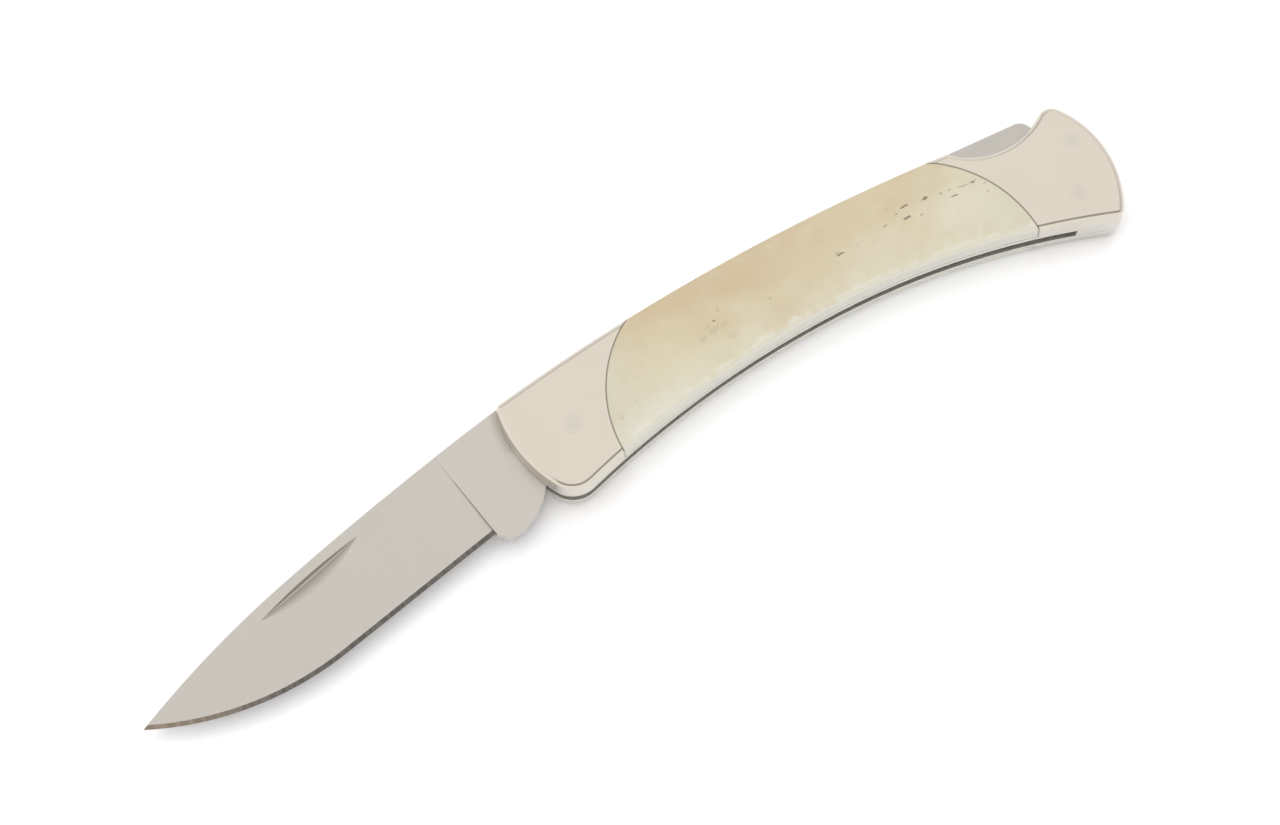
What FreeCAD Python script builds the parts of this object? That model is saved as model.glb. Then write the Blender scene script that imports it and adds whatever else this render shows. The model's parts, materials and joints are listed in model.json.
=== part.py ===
import FreeCAD, Part
import math
import os

import Sketcher
from FreeCAD import Vector

# Lockback folding knife, open, lying on its right side.
# Millimetres. The blade pivot is the Z axis, z = 0 is the face that it lies on,
# +X runs along the handle to the butt, -X to the point, +Y to the back of the knife.

doc = FreeCAD.newDocument("lockback_knife")
sheet = doc.addObject("Spreadsheet::Sheet", "sizes")

# Driving dimensions, in millimetres and degrees.
SIZES = {
    # Thickness of the stack, from the outside to the middle
    "scale_thickness": 3.0,
    "liner_thickness": 1.15,
    "blade_thickness": 2.3,
    # Clearances, each on one side
    "press_clearance": 0.01,
    "running_clearance": 0.03,
    "blade_side_clearance": 0.1,
    "spring_side_clearance": 0.25,
    # Outline of the handle
    "spine_radius": 286.0,
    "spine_crest_x": 35.3,
    "spine_crest_y": 10.0,
    "belly_crest_x": 37.5,
    "belly_crest_y": -2.38,
    "belly_front_radius": 137.0,
    "belly_rear_radius": 108.0,
    "lobe_radius": 4.0,
    "nose_reach": 8.29,
    "nose_radius": 18.06,
    "nose_centre_y": 3.08,
    "nose_corner_radius": 1.1,
    "butt_reach": 77.93,
    "butt_radius": 14.16,
    "butt_centre_depth": 8.025,
    "butt_corner_radius": 1.0,
    "thumb_notch_inset": 11.63,
    "thumb_notch_depth": 2.235,
    "thumb_notch_radius": 9.92,
    "hump_radius": 2.15,
    "draft_angle": 6.0,
    "edge_bevel": 0.36,
    "edge_ease": 0.14,
    # Seams between bone and bolsters
    "front_seam_x": 4.04,
    "front_seam_drop": 5.37,
    "front_seam_radius": 16.23,
    "rear_seam_inset": 13.14,
    "rear_seam_drop": 5.1,
    "rear_seam_radius": 17.94,
    # Pins and bushes
    "pivot_pin_diameter": 2.6,
    "pivot_bush_wall": 0.77,
    "rocker_x": 35.0,
    "rocker_depth": 2.6,
    "rocker_pin_diameter": 2.0,
    "rocker_bush_wall": 0.57,
    "rivet_diameter": 2.1,
    "upper_rivet_inset": 3.62,
    "upper_rivet_rise": 4.02,
    "lower_rivet_inset": 6.31,
    "lower_rivet_drop": 2.59,
    # Blade
    "tip_reach": 65.9,
    "tip_drop": 1.41,
    "blade_proud": 0.38,
    "blade_spine_radius": 446.3,
    "blade_spine_angle": 8.75,
    "point_radius": 150.7,
    "edge_angle": 11.3,
    "edge_offset": 4.03,
    "sweep_radius": 44.0,
    "heel_radius": 2.0,
    "kick_x": 13.3,
    "kick_y": 7.6,
    "kick_radius": 1.05,
    "ricasso_setback": 0.4,
    "ricasso_overlap": 0.2,
    "throat_radius": 1.0,
    "plunge_x": 16.07,
    "plunge_angle": 11.0,
    "grind_angle": 4.1,
    "edge_thickness": 0.28,
    "bevel_angle": 17.0,
    "nick_x": 38.66,
    "nick_drop": 1.72,
    "nick_angle": 14.2,
    "nick_length": 16.4,
    "nick_floor_width": 2.0,
    "nick_wall_width": 0.42,
    "nick_depth": 0.45,
    # Lock
    "fold_angle": 169.0,
    "lock_angle": 1.8,
    "tang_radius": 5.2,
    "lug_width": 2.2,
    "lug_height": 1.03,
    "lug_clearance": 0.12,
    "lug_floor_clearance": 0.17,
    "bar_front_proud": 0.37,
    "bar_top_radius": 400.0,
    "thumb_pad_inset": 19.43,
    "thumb_pad_proud": 0.51,
    "bar_rear_inset": 6.48,
    "bar_rear_depth": 2.906,
    "bar_rear_radius": 1.9,
    "boss_wall": 1.0,
    "arm_x": 18.0,
    "arm_depth": 2.53,
    # Rear spacer and spring
    "spacer_clearance": 0.6,
    "spacer_front_inset": 7.93,
    "spacer_step_rise": 4.82,
    "spacer_slope": 0.7,
    "spring_cover": 0.6,
    "spring_thickness": 0.7,
    "spring_seat_depth": 2.4,
    "spring_reach": 14.5,
    "spring_gap": 0.15,
}


# Sizes that carry both their number and the formula that the document keeps
class Size:
    def __init__(self, value, text):
        self.value = value
        self.text = text

    def __add__(self, other):
        other = as_size(other)
        return Size(self.value + other.value, f"({self.text} + {other.text})")

    def __sub__(self, other):
        other = as_size(other)
        return Size(self.value - other.value, f"({self.text} - {other.text})")

    def __mul__(self, other):
        other = as_size(other)
        return Size(self.value * other.value, f"({self.text} * {other.text})")

    def __truediv__(self, other):
        other = as_size(other)
        return Size(self.value / other.value, f"({self.text} / {other.text})")

    def __neg__(self):
        return Size(-self.value, f"(-1 * {self.text})")


def as_size(number):
    if isinstance(number, Size):
        return number
    return Size(float(number), repr(float(number)))


def sine(angle):
    return Size(math.sin(math.radians(angle.value)), f"sin({angle.text} * 1 deg)")


def cosine(angle):
    return Size(math.cos(math.radians(angle.value)), f"cos({angle.text} * 1 deg)")


def tangent(angle):
    return Size(math.tan(math.radians(angle.value)), f"tan({angle.text} * 1 deg)")


def root(number):
    return Size(math.sqrt(number.value), f"sqrt({number.text})")


for row, (alias, number) in enumerate(SIZES.items(), start=1):
    sheet.set(f"A{row}", alias)
    sheet.set(f"B{row}", str(number))
    sheet.setAlias(f"B{row}", alias)
doc.recompute()


def size(alias):
    return Size(float(sheet.get(alias)), f"sizes.{alias}")


# Heights of the stack
scale = size("scale_thickness")
liner = size("liner_thickness")
blade_thickness = size("blade_thickness")
slot = blade_thickness + size("blade_side_clearance") * 2
slot_floor = scale + liner
slot_roof = slot_floor + slot
left_scale_floor = slot_roof + liner
total_thickness = left_scale_floor + scale
middle = total_thickness / 2

# Reach of a cut that has to pass right through the knife
beyond = size("butt_reach") + size("tip_reach")


def spine_height(x):
    """Height of the handle's back above the pivot at a place along it."""
    radius = size("spine_radius")
    run = x - size("spine_crest_x")
    return size("spine_crest_y") - radius + root(radius * radius - run * run)


# Places that several pieces share. Insets are measured forward from the butt.
zero = as_size(0)
butt_x = size("butt_reach")
butt_centre_y = spine_height(butt_x) - size("butt_centre_depth")
bar_rear_x = butt_x - size("bar_rear_inset")
spacer_front_x = butt_x - size("spacer_front_inset")
spacer_step_y = butt_centre_y + size("spacer_step_rise")
spring_top = spacer_step_y - size("spacer_slope") - size("spring_cover")
spring_bottom = spring_top - size("spring_thickness")
rocker_x = size("rocker_x")
rocker_y = spine_height(rocker_x) - size("rocker_depth")
half_lug = size("lug_width") / 2
lug_bottom = size("tang_radius") + size("lug_clearance")
lug_fall = (rocker_x + half_lug) * sine(size("lock_angle"))
lug_shift = (rocker_y - lug_bottom) * sine(size("lock_angle"))
tang_floor = lug_bottom - lug_fall - size("lug_floor_clearance")
step_x = -(half_lug + size("lug_clearance"))
notch_back_x = half_lug + size("lug_clearance") + lug_shift

# Pins: where they stand, and their radius
pivot = (zero, zero, size("pivot_pin_diameter") / 2)
rocker = (rocker_x, rocker_y, size("rocker_pin_diameter") / 2)
rivet_radius = size("rivet_diameter") / 2
upper_rivet_y = butt_centre_y + size("upper_rivet_rise")
lower_rivet_y = butt_centre_y - size("lower_rivet_drop")
upper_rivet = (butt_x - size("upper_rivet_inset"), upper_rivet_y, rivet_radius)
lower_rivet = (butt_x - size("lower_rivet_inset"), lower_rivet_y, rivet_radius)

# Bushes, and the boss of the lock bar round its bush
pivot_bush = pivot[2] + size("running_clearance") + size("pivot_bush_wall")
rocker_bush = rocker[2] + size("running_clearance") + size("rocker_bush_wall")
boss = rocker_bush + size("boss_wall")
boss_bottom = rocker_y - boss
bar_rear_bottom = spine_height(bar_rear_x) - size("bar_rear_depth")


# Plane geometry for the starting places of arcs
def apart(a, b):
    return math.hypot(a[0] - b[0], a[1] - b[1])


def toward(a, b, distance):
    """The point at a distance from a, in the direction of b."""
    share = distance / apart(a, b)
    return (a[0] + (b[0] - a[0]) * share, a[1] + (b[1] - a[1]) * share)


def circles_meet(a, radius_a, b, radius_b, near):
    """The meeting point of two circles that lies nearest to a given point."""
    gap = apart(a, b)
    along = (radius_a**2 - radius_b**2 + gap**2) / (2 * gap)
    across = math.sqrt(max(radius_a**2 - along**2, 0.0))
    foot = toward(a, b, along)
    side = ((b[1] - a[1]) / gap * across, (a[0] - b[0]) / gap * across)
    both = [(foot[0] + side[0], foot[1] + side[1]), (foot[0] - side[0], foot[1] - side[1])]
    return min(both, key=lambda point: apart(point, near))


def line_meets_circle(point, angle, centre, radius, near):
    """The meeting point of a line and a circle that lies nearest to a given point."""
    run = (math.cos(angle), math.sin(angle))
    along = (centre[0] - point[0]) * run[0] + (centre[1] - point[1]) * run[1]
    foot = (point[0] + run[0] * along, point[1] + run[1] * along)
    half = math.sqrt(max(radius**2 - apart(foot, centre) ** 2, 0.0))
    both = [(foot[0] + run[0] * half, foot[1] + run[1] * half)]
    both.append((foot[0] - run[0] * half, foot[1] - run[1] * half))
    return min(both, key=lambda place: apart(place, near))


# Sketching
ORIGIN = (-1, 1)
START, END, CENTRE = range(1, 4)


def new_body(label):
    body = doc.addObject("PartDesign::Body", label)
    body.Label = label
    return body


def ground_plane(body):
    return [feature for feature in body.Origin.OriginFeatures if feature.Role == "XY_Plane"][0]


def new_sketch(body, name, lift=None):
    """A sketch on the body's own ground plane, lifted off it if asked."""
    sketch = body.newObject("Sketcher::SketchObject", name)
    sketch.AttachmentSupport = [(ground_plane(body), "")]
    sketch.MapMode = "FlatFace"
    if lift is not None:
        sketch.setExpression("AttachmentOffset.Base.z", lift.text)
    return sketch


def hold(sketch, kind, references, amount):
    index = sketch.addConstraint(Sketcher.Constraint(kind, *references, amount.value))
    sketch.setExpression(f"Constraints[{index}]", amount.text)


def hold_angle(sketch, line, angle):
    index = sketch.addConstraint(Sketcher.Constraint("Angle", line, math.radians(angle.value)))
    sketch.setExpression(f"Constraints[{index}]", f"{angle.text} * 1 deg")


def hold_x(sketch, piece, end, x):
    hold(sketch, "DistanceX", (*ORIGIN, piece, end), x)


def hold_y(sketch, piece, end, y):
    hold(sketch, "DistanceY", (*ORIGIN, piece, end), y)


def hold_point(sketch, piece, end, x, y):
    hold_x(sketch, piece, end, x)
    hold_y(sketch, piece, end, y)


def hold_radius(sketch, piece, radius):
    hold(sketch, "Radius", (piece,), radius)


def upright(sketch, piece):
    sketch.addConstraint(Sketcher.Constraint("Vertical", piece))


def level(sketch, piece):
    sketch.addConstraint(Sketcher.Constraint("Horizontal", piece))


class Outline:
    """A closed chain of lines and arcs, each starting where the one before it ends."""

    def __init__(self, sketch):
        self.sketch = sketch
        self.ends = []

    def line(self, start, end):
        segment = Part.LineSegment(Vector(*start, 0), Vector(*end, 0))
        piece = self.sketch.addGeometry(segment)
        self.ends.append((piece, START, END))
        return piece

    def arc(self, start, end, centre, turn=1):
        """An arc that turns left, or right with a turn of -1."""
        first, last = (start, end) if turn > 0 else (end, start)
        begin = math.atan2(first[1] - centre[1], first[0] - centre[0])
        finish = math.atan2(last[1] - centre[1], last[0] - centre[0])
        if finish < begin:
            finish += 2 * math.pi
        circle = Part.Circle(Vector(*centre, 0), Vector(0, 0, 1), apart(start, centre))
        piece = self.sketch.addGeometry(Part.ArcOfCircle(circle, begin, finish))
        self.ends.append((piece, START, END) if turn > 0 else (piece, END, START))
        return piece

    def close(self, smooth=()):
        """Join each piece to the next, smoothly after the pieces that are named."""
        for place, (piece, _, last) in enumerate(self.ends):
            following, first, _ = self.ends[(place + 1) % len(self.ends)]
            kind = "Tangent" if piece in smooth else "Coincident"
            self.sketch.addConstraint(Sketcher.Constraint(kind, piece, last, following, first))

    def polygon(self, corners):
        """Straight lines through corners that are each held by their two sizes."""
        places = [(x.value, y.value) for x, y in corners]
        lines = [self.line(a, b) for a, b in zip(places, places[1:] + places[:1])]
        self.close()
        for line, (x, y) in zip(lines, corners):
            hold_point(self.sketch, line, START, x, y)


def draw_circle(sketch, x, y, radius):
    place = Vector(x.value, y.value, 0)
    piece = sketch.addGeometry(Part.Circle(place, Vector(0, 0, 1), radius.value))
    if x.value == 0 and y.value == 0:
        sketch.addConstraint(Sketcher.Constraint("Coincident", piece, CENTRE, *ORIGIN))
    else:
        hold_point(sketch, piece, CENTRE, x, y)
    hold_radius(sketch, piece, radius)


# Features
def pad(body, sketch, length, down=False, both_ways=False):
    feature = body.newObject("PartDesign::Pad", "pad")
    feature.Profile = sketch
    feature.Reversed = down
    feature.Midplane = both_ways
    feature.setExpression("Length", length.text)
    doc.recompute()
    return feature


def cut_through(body, sketch):
    """Cut the sketch right through the body, and see that it took something away."""
    before = body.Shape.Volume
    feature = body.newObject("PartDesign::Pocket", "pocket")
    feature.Profile = sketch
    feature.Midplane = True
    feature.setExpression("Length", (beyond * 2).text)
    doc.recompute()
    if not body.Shape.Volume < before:
        raise RuntimeError(f"{sketch.Label} of {body.Label} cuts nothing")


def drill(body, name, x, y, radius):
    sketch = new_sketch(body, name)
    draw_circle(sketch, x, y, radius)
    cut_through(body, sketch)


def cylinder_body(label, x, y, radius, floor, length, bore=None):
    """A pin, or a bush where a bore is given."""
    body = new_body(label)
    sketch = new_sketch(body, f"{label}_section")
    draw_circle(sketch, zero, zero, radius)
    if bore is not None:
        draw_circle(sketch, zero, zero, bore)
    pad(body, sketch, length)
    body.setExpression("Placement.Base.x", x.text)
    body.setExpression("Placement.Base.y", y.text)
    body.setExpression("Placement.Base.z", floor.text)
    return body


def drill_for_pin(body, name, pin):
    x, y, radius = pin
    drill(body, name, x, y, radius + size("press_clearance"))


def draw_handle(sketch):
    """Side outline of the handle: back, thumb notch, butt, belly, finger lobe and nose."""
    spine_r = size("spine_radius")
    notch_r = size("thumb_notch_radius")
    butt_r = size("butt_radius")
    front_r = size("belly_front_radius")
    rear_r = size("belly_rear_radius")
    nose_r = size("nose_radius")
    spine_c = (size("spine_crest_x"), size("spine_crest_y") - spine_r)
    notch_x = butt_x - size("thumb_notch_inset")
    notch_c = (notch_x, spine_height(notch_x) - size("thumb_notch_depth") + notch_r)
    butt_c = (butt_x - butt_r, butt_centre_y)
    front_c = (size("belly_crest_x"), size("belly_crest_y") - front_r)
    nose_c = (nose_r - size("nose_reach"), size("nose_centre_y"))
    crest = (size("belly_crest_x").value, size("belly_crest_y").value)
    rear_c = (crest[0], crest[1] - rear_r.value)

    def place(pair):
        return (pair[0].value, pair[1].value)

    spine_p, notch_p, butt_p, front_p, nose_p = map(place, (spine_c, notch_c, butt_c, front_c, nose_c))
    hump, corner = size("hump_radius"), size("butt_corner_radius")
    lobe, brow = size("lobe_radius"), size("nose_corner_radius")

    # Rounds lie inside a bulging arc and outside a hollow one
    hump_side = (notch_p[0] + notch_r.value, 0)
    hump_p = circles_meet(notch_p, notch_r.value + hump.value, butt_p, butt_r.value - hump.value, hump_side)
    corner_p = circles_meet(
        butt_p, butt_r.value - corner.value, rear_c, rear_r.value + corner.value, (butt_p[0], -butt_r.value)
    )
    lobe_p = circles_meet(
        front_p, front_r.value + lobe.value, nose_p, nose_r.value - lobe.value, (0, -nose_r.value)
    )
    brow_side = (nose_p[0] - nose_r.value, 0)
    brow_p = circles_meet(nose_p, nose_r.value - brow.value, spine_p, spine_r.value - brow.value, brow_side)
    notch_side = (notch_p[0] - notch_r.value, 0)
    notch_start = circles_meet(spine_p, spine_r.value, notch_p, notch_r.value, notch_side)
    hump_start = toward(notch_p, hump_p, notch_r.value)
    hump_end = toward(butt_p, hump_p, butt_r.value)
    corner_start = toward(butt_p, corner_p, butt_r.value)
    corner_end = toward(rear_c, corner_p, rear_r.value)
    lobe_start = toward(front_p, lobe_p, front_r.value)
    lobe_end = toward(nose_p, lobe_p, nose_r.value)
    brow_start = toward(nose_p, brow_p, nose_r.value)
    brow_end = toward(spine_p, brow_p, spine_r.value)

    # Drawn clockwise along the back, so each bulging arc turns right
    chain = Outline(sketch)
    spine = chain.arc(brow_end, notch_start, spine_p, -1)
    notch = chain.arc(notch_start, hump_start, notch_p, 1)
    hump_arc = chain.arc(hump_start, hump_end, hump_p, -1)
    butt = chain.arc(hump_end, corner_start, butt_p, -1)
    corner_arc = chain.arc(corner_start, corner_end, corner_p, -1)
    rear = chain.arc(corner_end, crest, rear_c, 1)
    front = chain.arc(crest, lobe_start, front_p, 1)
    lobe_arc = chain.arc(lobe_start, lobe_end, lobe_p, -1)
    nose = chain.arc(lobe_end, brow_start, nose_p, -1)
    brow_arc = chain.arc(brow_start, brow_end, brow_p, -1)
    chain.close(smooth=(notch, hump_arc, butt, corner_arc, rear, front, lobe_arc, nose, brow_arc))
    for piece, centre, radius in (
        (spine, spine_c, spine_r),
        (notch, notch_c, notch_r),
        (butt, butt_c, butt_r),
        (front, front_c, front_r),
        (nose, nose_c, nose_r),
    ):
        hold_point(sketch, piece, CENTRE, *centre)
        hold_radius(sketch, piece, radius)
    for piece, radius in (
        (hump_arc, hump),
        (corner_arc, corner),
        (lobe_arc, lobe),
        (brow_arc, brow),
        (rear, rear_r),
    ):
        hold_radius(sketch, piece, radius)
    hold_x(sketch, front, START, size("belly_crest_x"))


def plate(label, floor, pins):
    """A liner: the full outline of the handle, drilled for every pin."""
    body = new_body(label)
    sketch = new_sketch(body, f"{label}_outline")
    draw_handle(sketch)
    pad(body, sketch, liner)
    for name, pin in pins.items():
        drill_for_pin(body, f"{label}_{name}_hole", pin)
    body.setExpression("Placement.Base.z", floor.text)
    return body


def slab(label, floor, down):
    """A block of the full outline with drafted walls, its outer edge eased by two narrow bevels."""
    body = new_body(label)
    sketch = new_sketch(body, f"{label}_outline")
    draw_handle(sketch)
    block = pad(body, sketch, scale, down)
    faces = enumerate(block.Shape.Faces, start=1)
    walls = [f"Face{number}" for number, face in faces if isinstance(face.Surface, Part.Cylinder)]
    draft = body.newObject("PartDesign::Draft", "wall_draft")
    draft.Base = (block, walls)
    draft.NeutralPlane = (ground_plane(body), [""])
    draft.Reversed = down
    draft.setExpression("Angle", size("draft_angle").text)
    doc.recompute()
    last = draft
    for alias in ("edge_bevel", "edge_ease"):
        faces = last.Shape.Faces
        outside = max(faces, key=lambda face: abs(face.CenterOfMass.z))
        number = [face.isSame(outside) for face in faces].index(True) + 1
        bevel = body.newObject("PartDesign::Chamfer", alias)
        bevel.Base = (last, [f"Face{number}"])
        bevel.setExpression("Size", size(alias).text)
        doc.recompute()
        last = bevel
    body.setExpression("Placement.Base.z", floor.text)
    doc.recompute()
    return body


# Seams: the centre of the arc, its radius, and the way that it bulges, to the front -1 or the rear 1
front_seam_radius = size("front_seam_radius")
rear_seam_radius = size("rear_seam_radius")
front_seam_x = size("front_seam_x") + front_seam_radius
rear_seam_x = butt_x - size("rear_seam_inset") - rear_seam_radius
front_seam = (front_seam_x, -size("front_seam_drop"), front_seam_radius, -1)
rear_seam = (rear_seam_x, butt_centre_y - size("rear_seam_drop"), rear_seam_radius, 1)


def keep_side(body, name, seam, keep):
    """Cut away one side of a seam and keep the front, -1, or the rear, 1."""
    centre_x, centre_y, radius, bulge = seam
    head = centre_y + radius
    top = head + size("spine_crest_y")
    bottom = centre_y - radius
    foot_y = centre_y - radius / 2
    far = centre_x - beyond * keep
    centre = (centre_x.value, centre_y.value)
    foot_x = centre_x.value + bulge * math.sqrt(radius.value**2 - (radius.value / 2) ** 2)
    crown = (centre[0], head.value)
    foot = (foot_x, foot_y.value)
    sketch = new_sketch(body, name)
    chain = Outline(sketch)
    arc = chain.arc(crown, foot, centre, -bulge)
    foot_line = chain.line(foot, (foot_x, bottom.value))
    bottom_line = chain.line((foot_x, bottom.value), (far.value, bottom.value))
    far_line = chain.line((far.value, bottom.value), (far.value, top.value))
    top_line = chain.line((far.value, top.value), (centre[0], top.value))
    crown_line = chain.line((centre[0], top.value), crown)
    chain.close()
    hold_point(sketch, arc, CENTRE, centre_x, centre_y)
    hold_radius(sketch, arc, radius)
    hold_y(sketch, foot_line, START, foot_y)
    hold_y(sketch, bottom_line, START, bottom)
    hold_x(sketch, far_line, START, far)
    hold_y(sketch, top_line, START, top)
    hold_x(sketch, crown_line, START, centre_x)
    for line in (foot_line, far_line, crown_line):
        upright(sketch, line)
    for line in (bottom_line, top_line):
        level(sketch, line)
    cut_through(body, sketch)


# Liners
pins = {"pivot": pivot, "rocker": rocker, "upper_rivet": upper_rivet, "lower_rivet": lower_rivet}
nodes = [
    plate("liner_right", scale, pins),
    plate("liner_left", slot_roof, pins),
]

# Bolsters and bone scales, cut from the same drafted block so that their faces run on
for side, floor, down in (("right", scale, True), ("left", left_scale_floor, False)):
    front_bolster = slab(f"front_bolster_{side}", floor, down)
    keep_side(front_bolster, f"front_bolster_{side}_seam", front_seam, -1)
    drill_for_pin(front_bolster, f"front_bolster_{side}_pivot_hole", pivot)
    bone = slab(f"bone_scale_{side}", floor, down)
    keep_side(bone, f"bone_scale_{side}_front_seam", front_seam, 1)
    keep_side(bone, f"bone_scale_{side}_rear_seam", rear_seam, -1)
    rear_bolster = slab(f"rear_bolster_{side}", floor, down)
    keep_side(rear_bolster, f"rear_bolster_{side}_seam", rear_seam, 1)
    drill_for_pin(rear_bolster, f"rear_bolster_{side}_upper_hole", upper_rivet)
    drill_for_pin(rear_bolster, f"rear_bolster_{side}_lower_hole", lower_rivet)
    nodes += [front_bolster, bone, rear_bolster]


# Pins, flush with the bolsters or, under the bone, with the liners
def pin_body(label, pin, floor, length):
    x, y, radius = pin
    return cylinder_body(label, x, y, radius, floor, length)


nodes += [
    pin_body("blade_pivot_pin", pivot, zero, total_thickness),
    pin_body("upper_rivet", upper_rivet, zero, total_thickness),
    pin_body("lower_rivet", lower_rivet, zero, total_thickness),
    pin_body("lock_bar_pin", rocker, scale, slot + liner * 2),
]


# Bushes, pressed in the tang and the lock bar
def bush_body(label, pin, bush_radius):
    x, y, radius = pin
    bore = radius + size("running_clearance")
    return cylinder_body(label, x, y, bush_radius, middle - blade_thickness / 2, blade_thickness, bore)


nodes += [
    bush_body("blade_bush", pivot, pivot_bush),
    bush_body("lock_bar_bush", rocker, rocker_bush),
]


# Rear spacer: the butt end of the outline, stepped to clear the lock bar and slotted for the spring
def rear_spacer():
    body = new_body("rear_spacer")
    sketch = new_sketch(body, "rear_spacer_outline")
    draw_handle(sketch)
    pad(body, sketch, slot)
    wall_x = bar_rear_x + size("spacer_clearance")
    front = new_sketch(body, "rear_spacer_front")
    Outline(front).polygon([
        (wall_x, beyond),
        (wall_x, spacer_step_y),
        (spacer_front_x, spacer_step_y - size("spacer_slope")),
        (spacer_front_x, -beyond),
        (-beyond, -beyond),
        (-beyond, beyond),
    ])
    cut_through(body, front)
    seat = new_sketch(body, "rear_spacer_spring_seat")
    low = spring_bottom - size("press_clearance")
    high = spring_top + size("press_clearance")
    back_x = spacer_front_x + size("spring_seat_depth") + size("press_clearance")
    Outline(seat).polygon([(-beyond, low), (back_x, low), (back_x, high), (-beyond, high)])
    cut_through(body, seat)
    drill_for_pin(body, "rear_spacer_upper_hole", upper_rivet)
    drill_for_pin(body, "rear_spacer_lower_hole", lower_rivet)
    body.setExpression("Placement.Base.z", slot_floor.text)
    return body


nodes.append(rear_spacer())


# Lock spring: a leaf that leaves its seat level and bends up under the lock bar
def lock_spring():
    body = new_body("lock_spring")
    sketch = new_sketch(body, "lock_spring_outline")
    thickness = size("spring_thickness")
    reach = size("spring_reach")
    front_x = spacer_front_x
    back_x = front_x + size("spring_seat_depth")
    tip_x = front_x - reach
    bar_slope = (bar_rear_bottom - boss_bottom) / (bar_rear_x - rocker_x)
    rise = boss_bottom + bar_slope * (tip_x - rocker_x) - size("spring_gap") - spring_top
    upper_radius = (reach * reach + rise * rise) / (rise * 2)
    low = spring_bottom.value
    high = spring_top.value
    centre = (front_x.value, high + upper_radius.value)
    lower_radius = upper_radius + thickness
    drop = math.sqrt(lower_radius.value**2 - reach.value**2)
    tip_low = (tip_x.value, centre[1] - drop)
    tip_high = (tip_x.value, high + rise.value)
    chain = Outline(sketch)
    lower = chain.arc(tip_low, (front_x.value, low), centre, 1)
    seat_low = chain.line((front_x.value, low), (back_x.value, low))
    seat_end = chain.line((back_x.value, low), (back_x.value, high))
    seat_high = chain.line((back_x.value, high), (front_x.value, high))
    upper = chain.arc((front_x.value, high), tip_high, centre, -1)
    tip = chain.line(tip_high, tip_low)
    chain.close(smooth=(lower, seat_high))
    hold_radius(sketch, lower, lower_radius)
    hold_radius(sketch, upper, upper_radius)
    hold_point(sketch, seat_low, START, front_x, spring_bottom)
    hold_point(sketch, seat_high, END, front_x, spring_top)
    hold_x(sketch, seat_end, START, back_x)
    hold_x(sketch, tip, START, tip_x)
    for line in (seat_low, seat_high):
        level(sketch, line)
    for line in (seat_end, tip):
        upright(sketch, line)
    pad(body, sketch, slot - size("spring_side_clearance") * 2)
    body.setExpression("Placement.Base.z", (slot_floor + size("spring_side_clearance")).text)
    return body


nodes.append(lock_spring())


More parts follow.
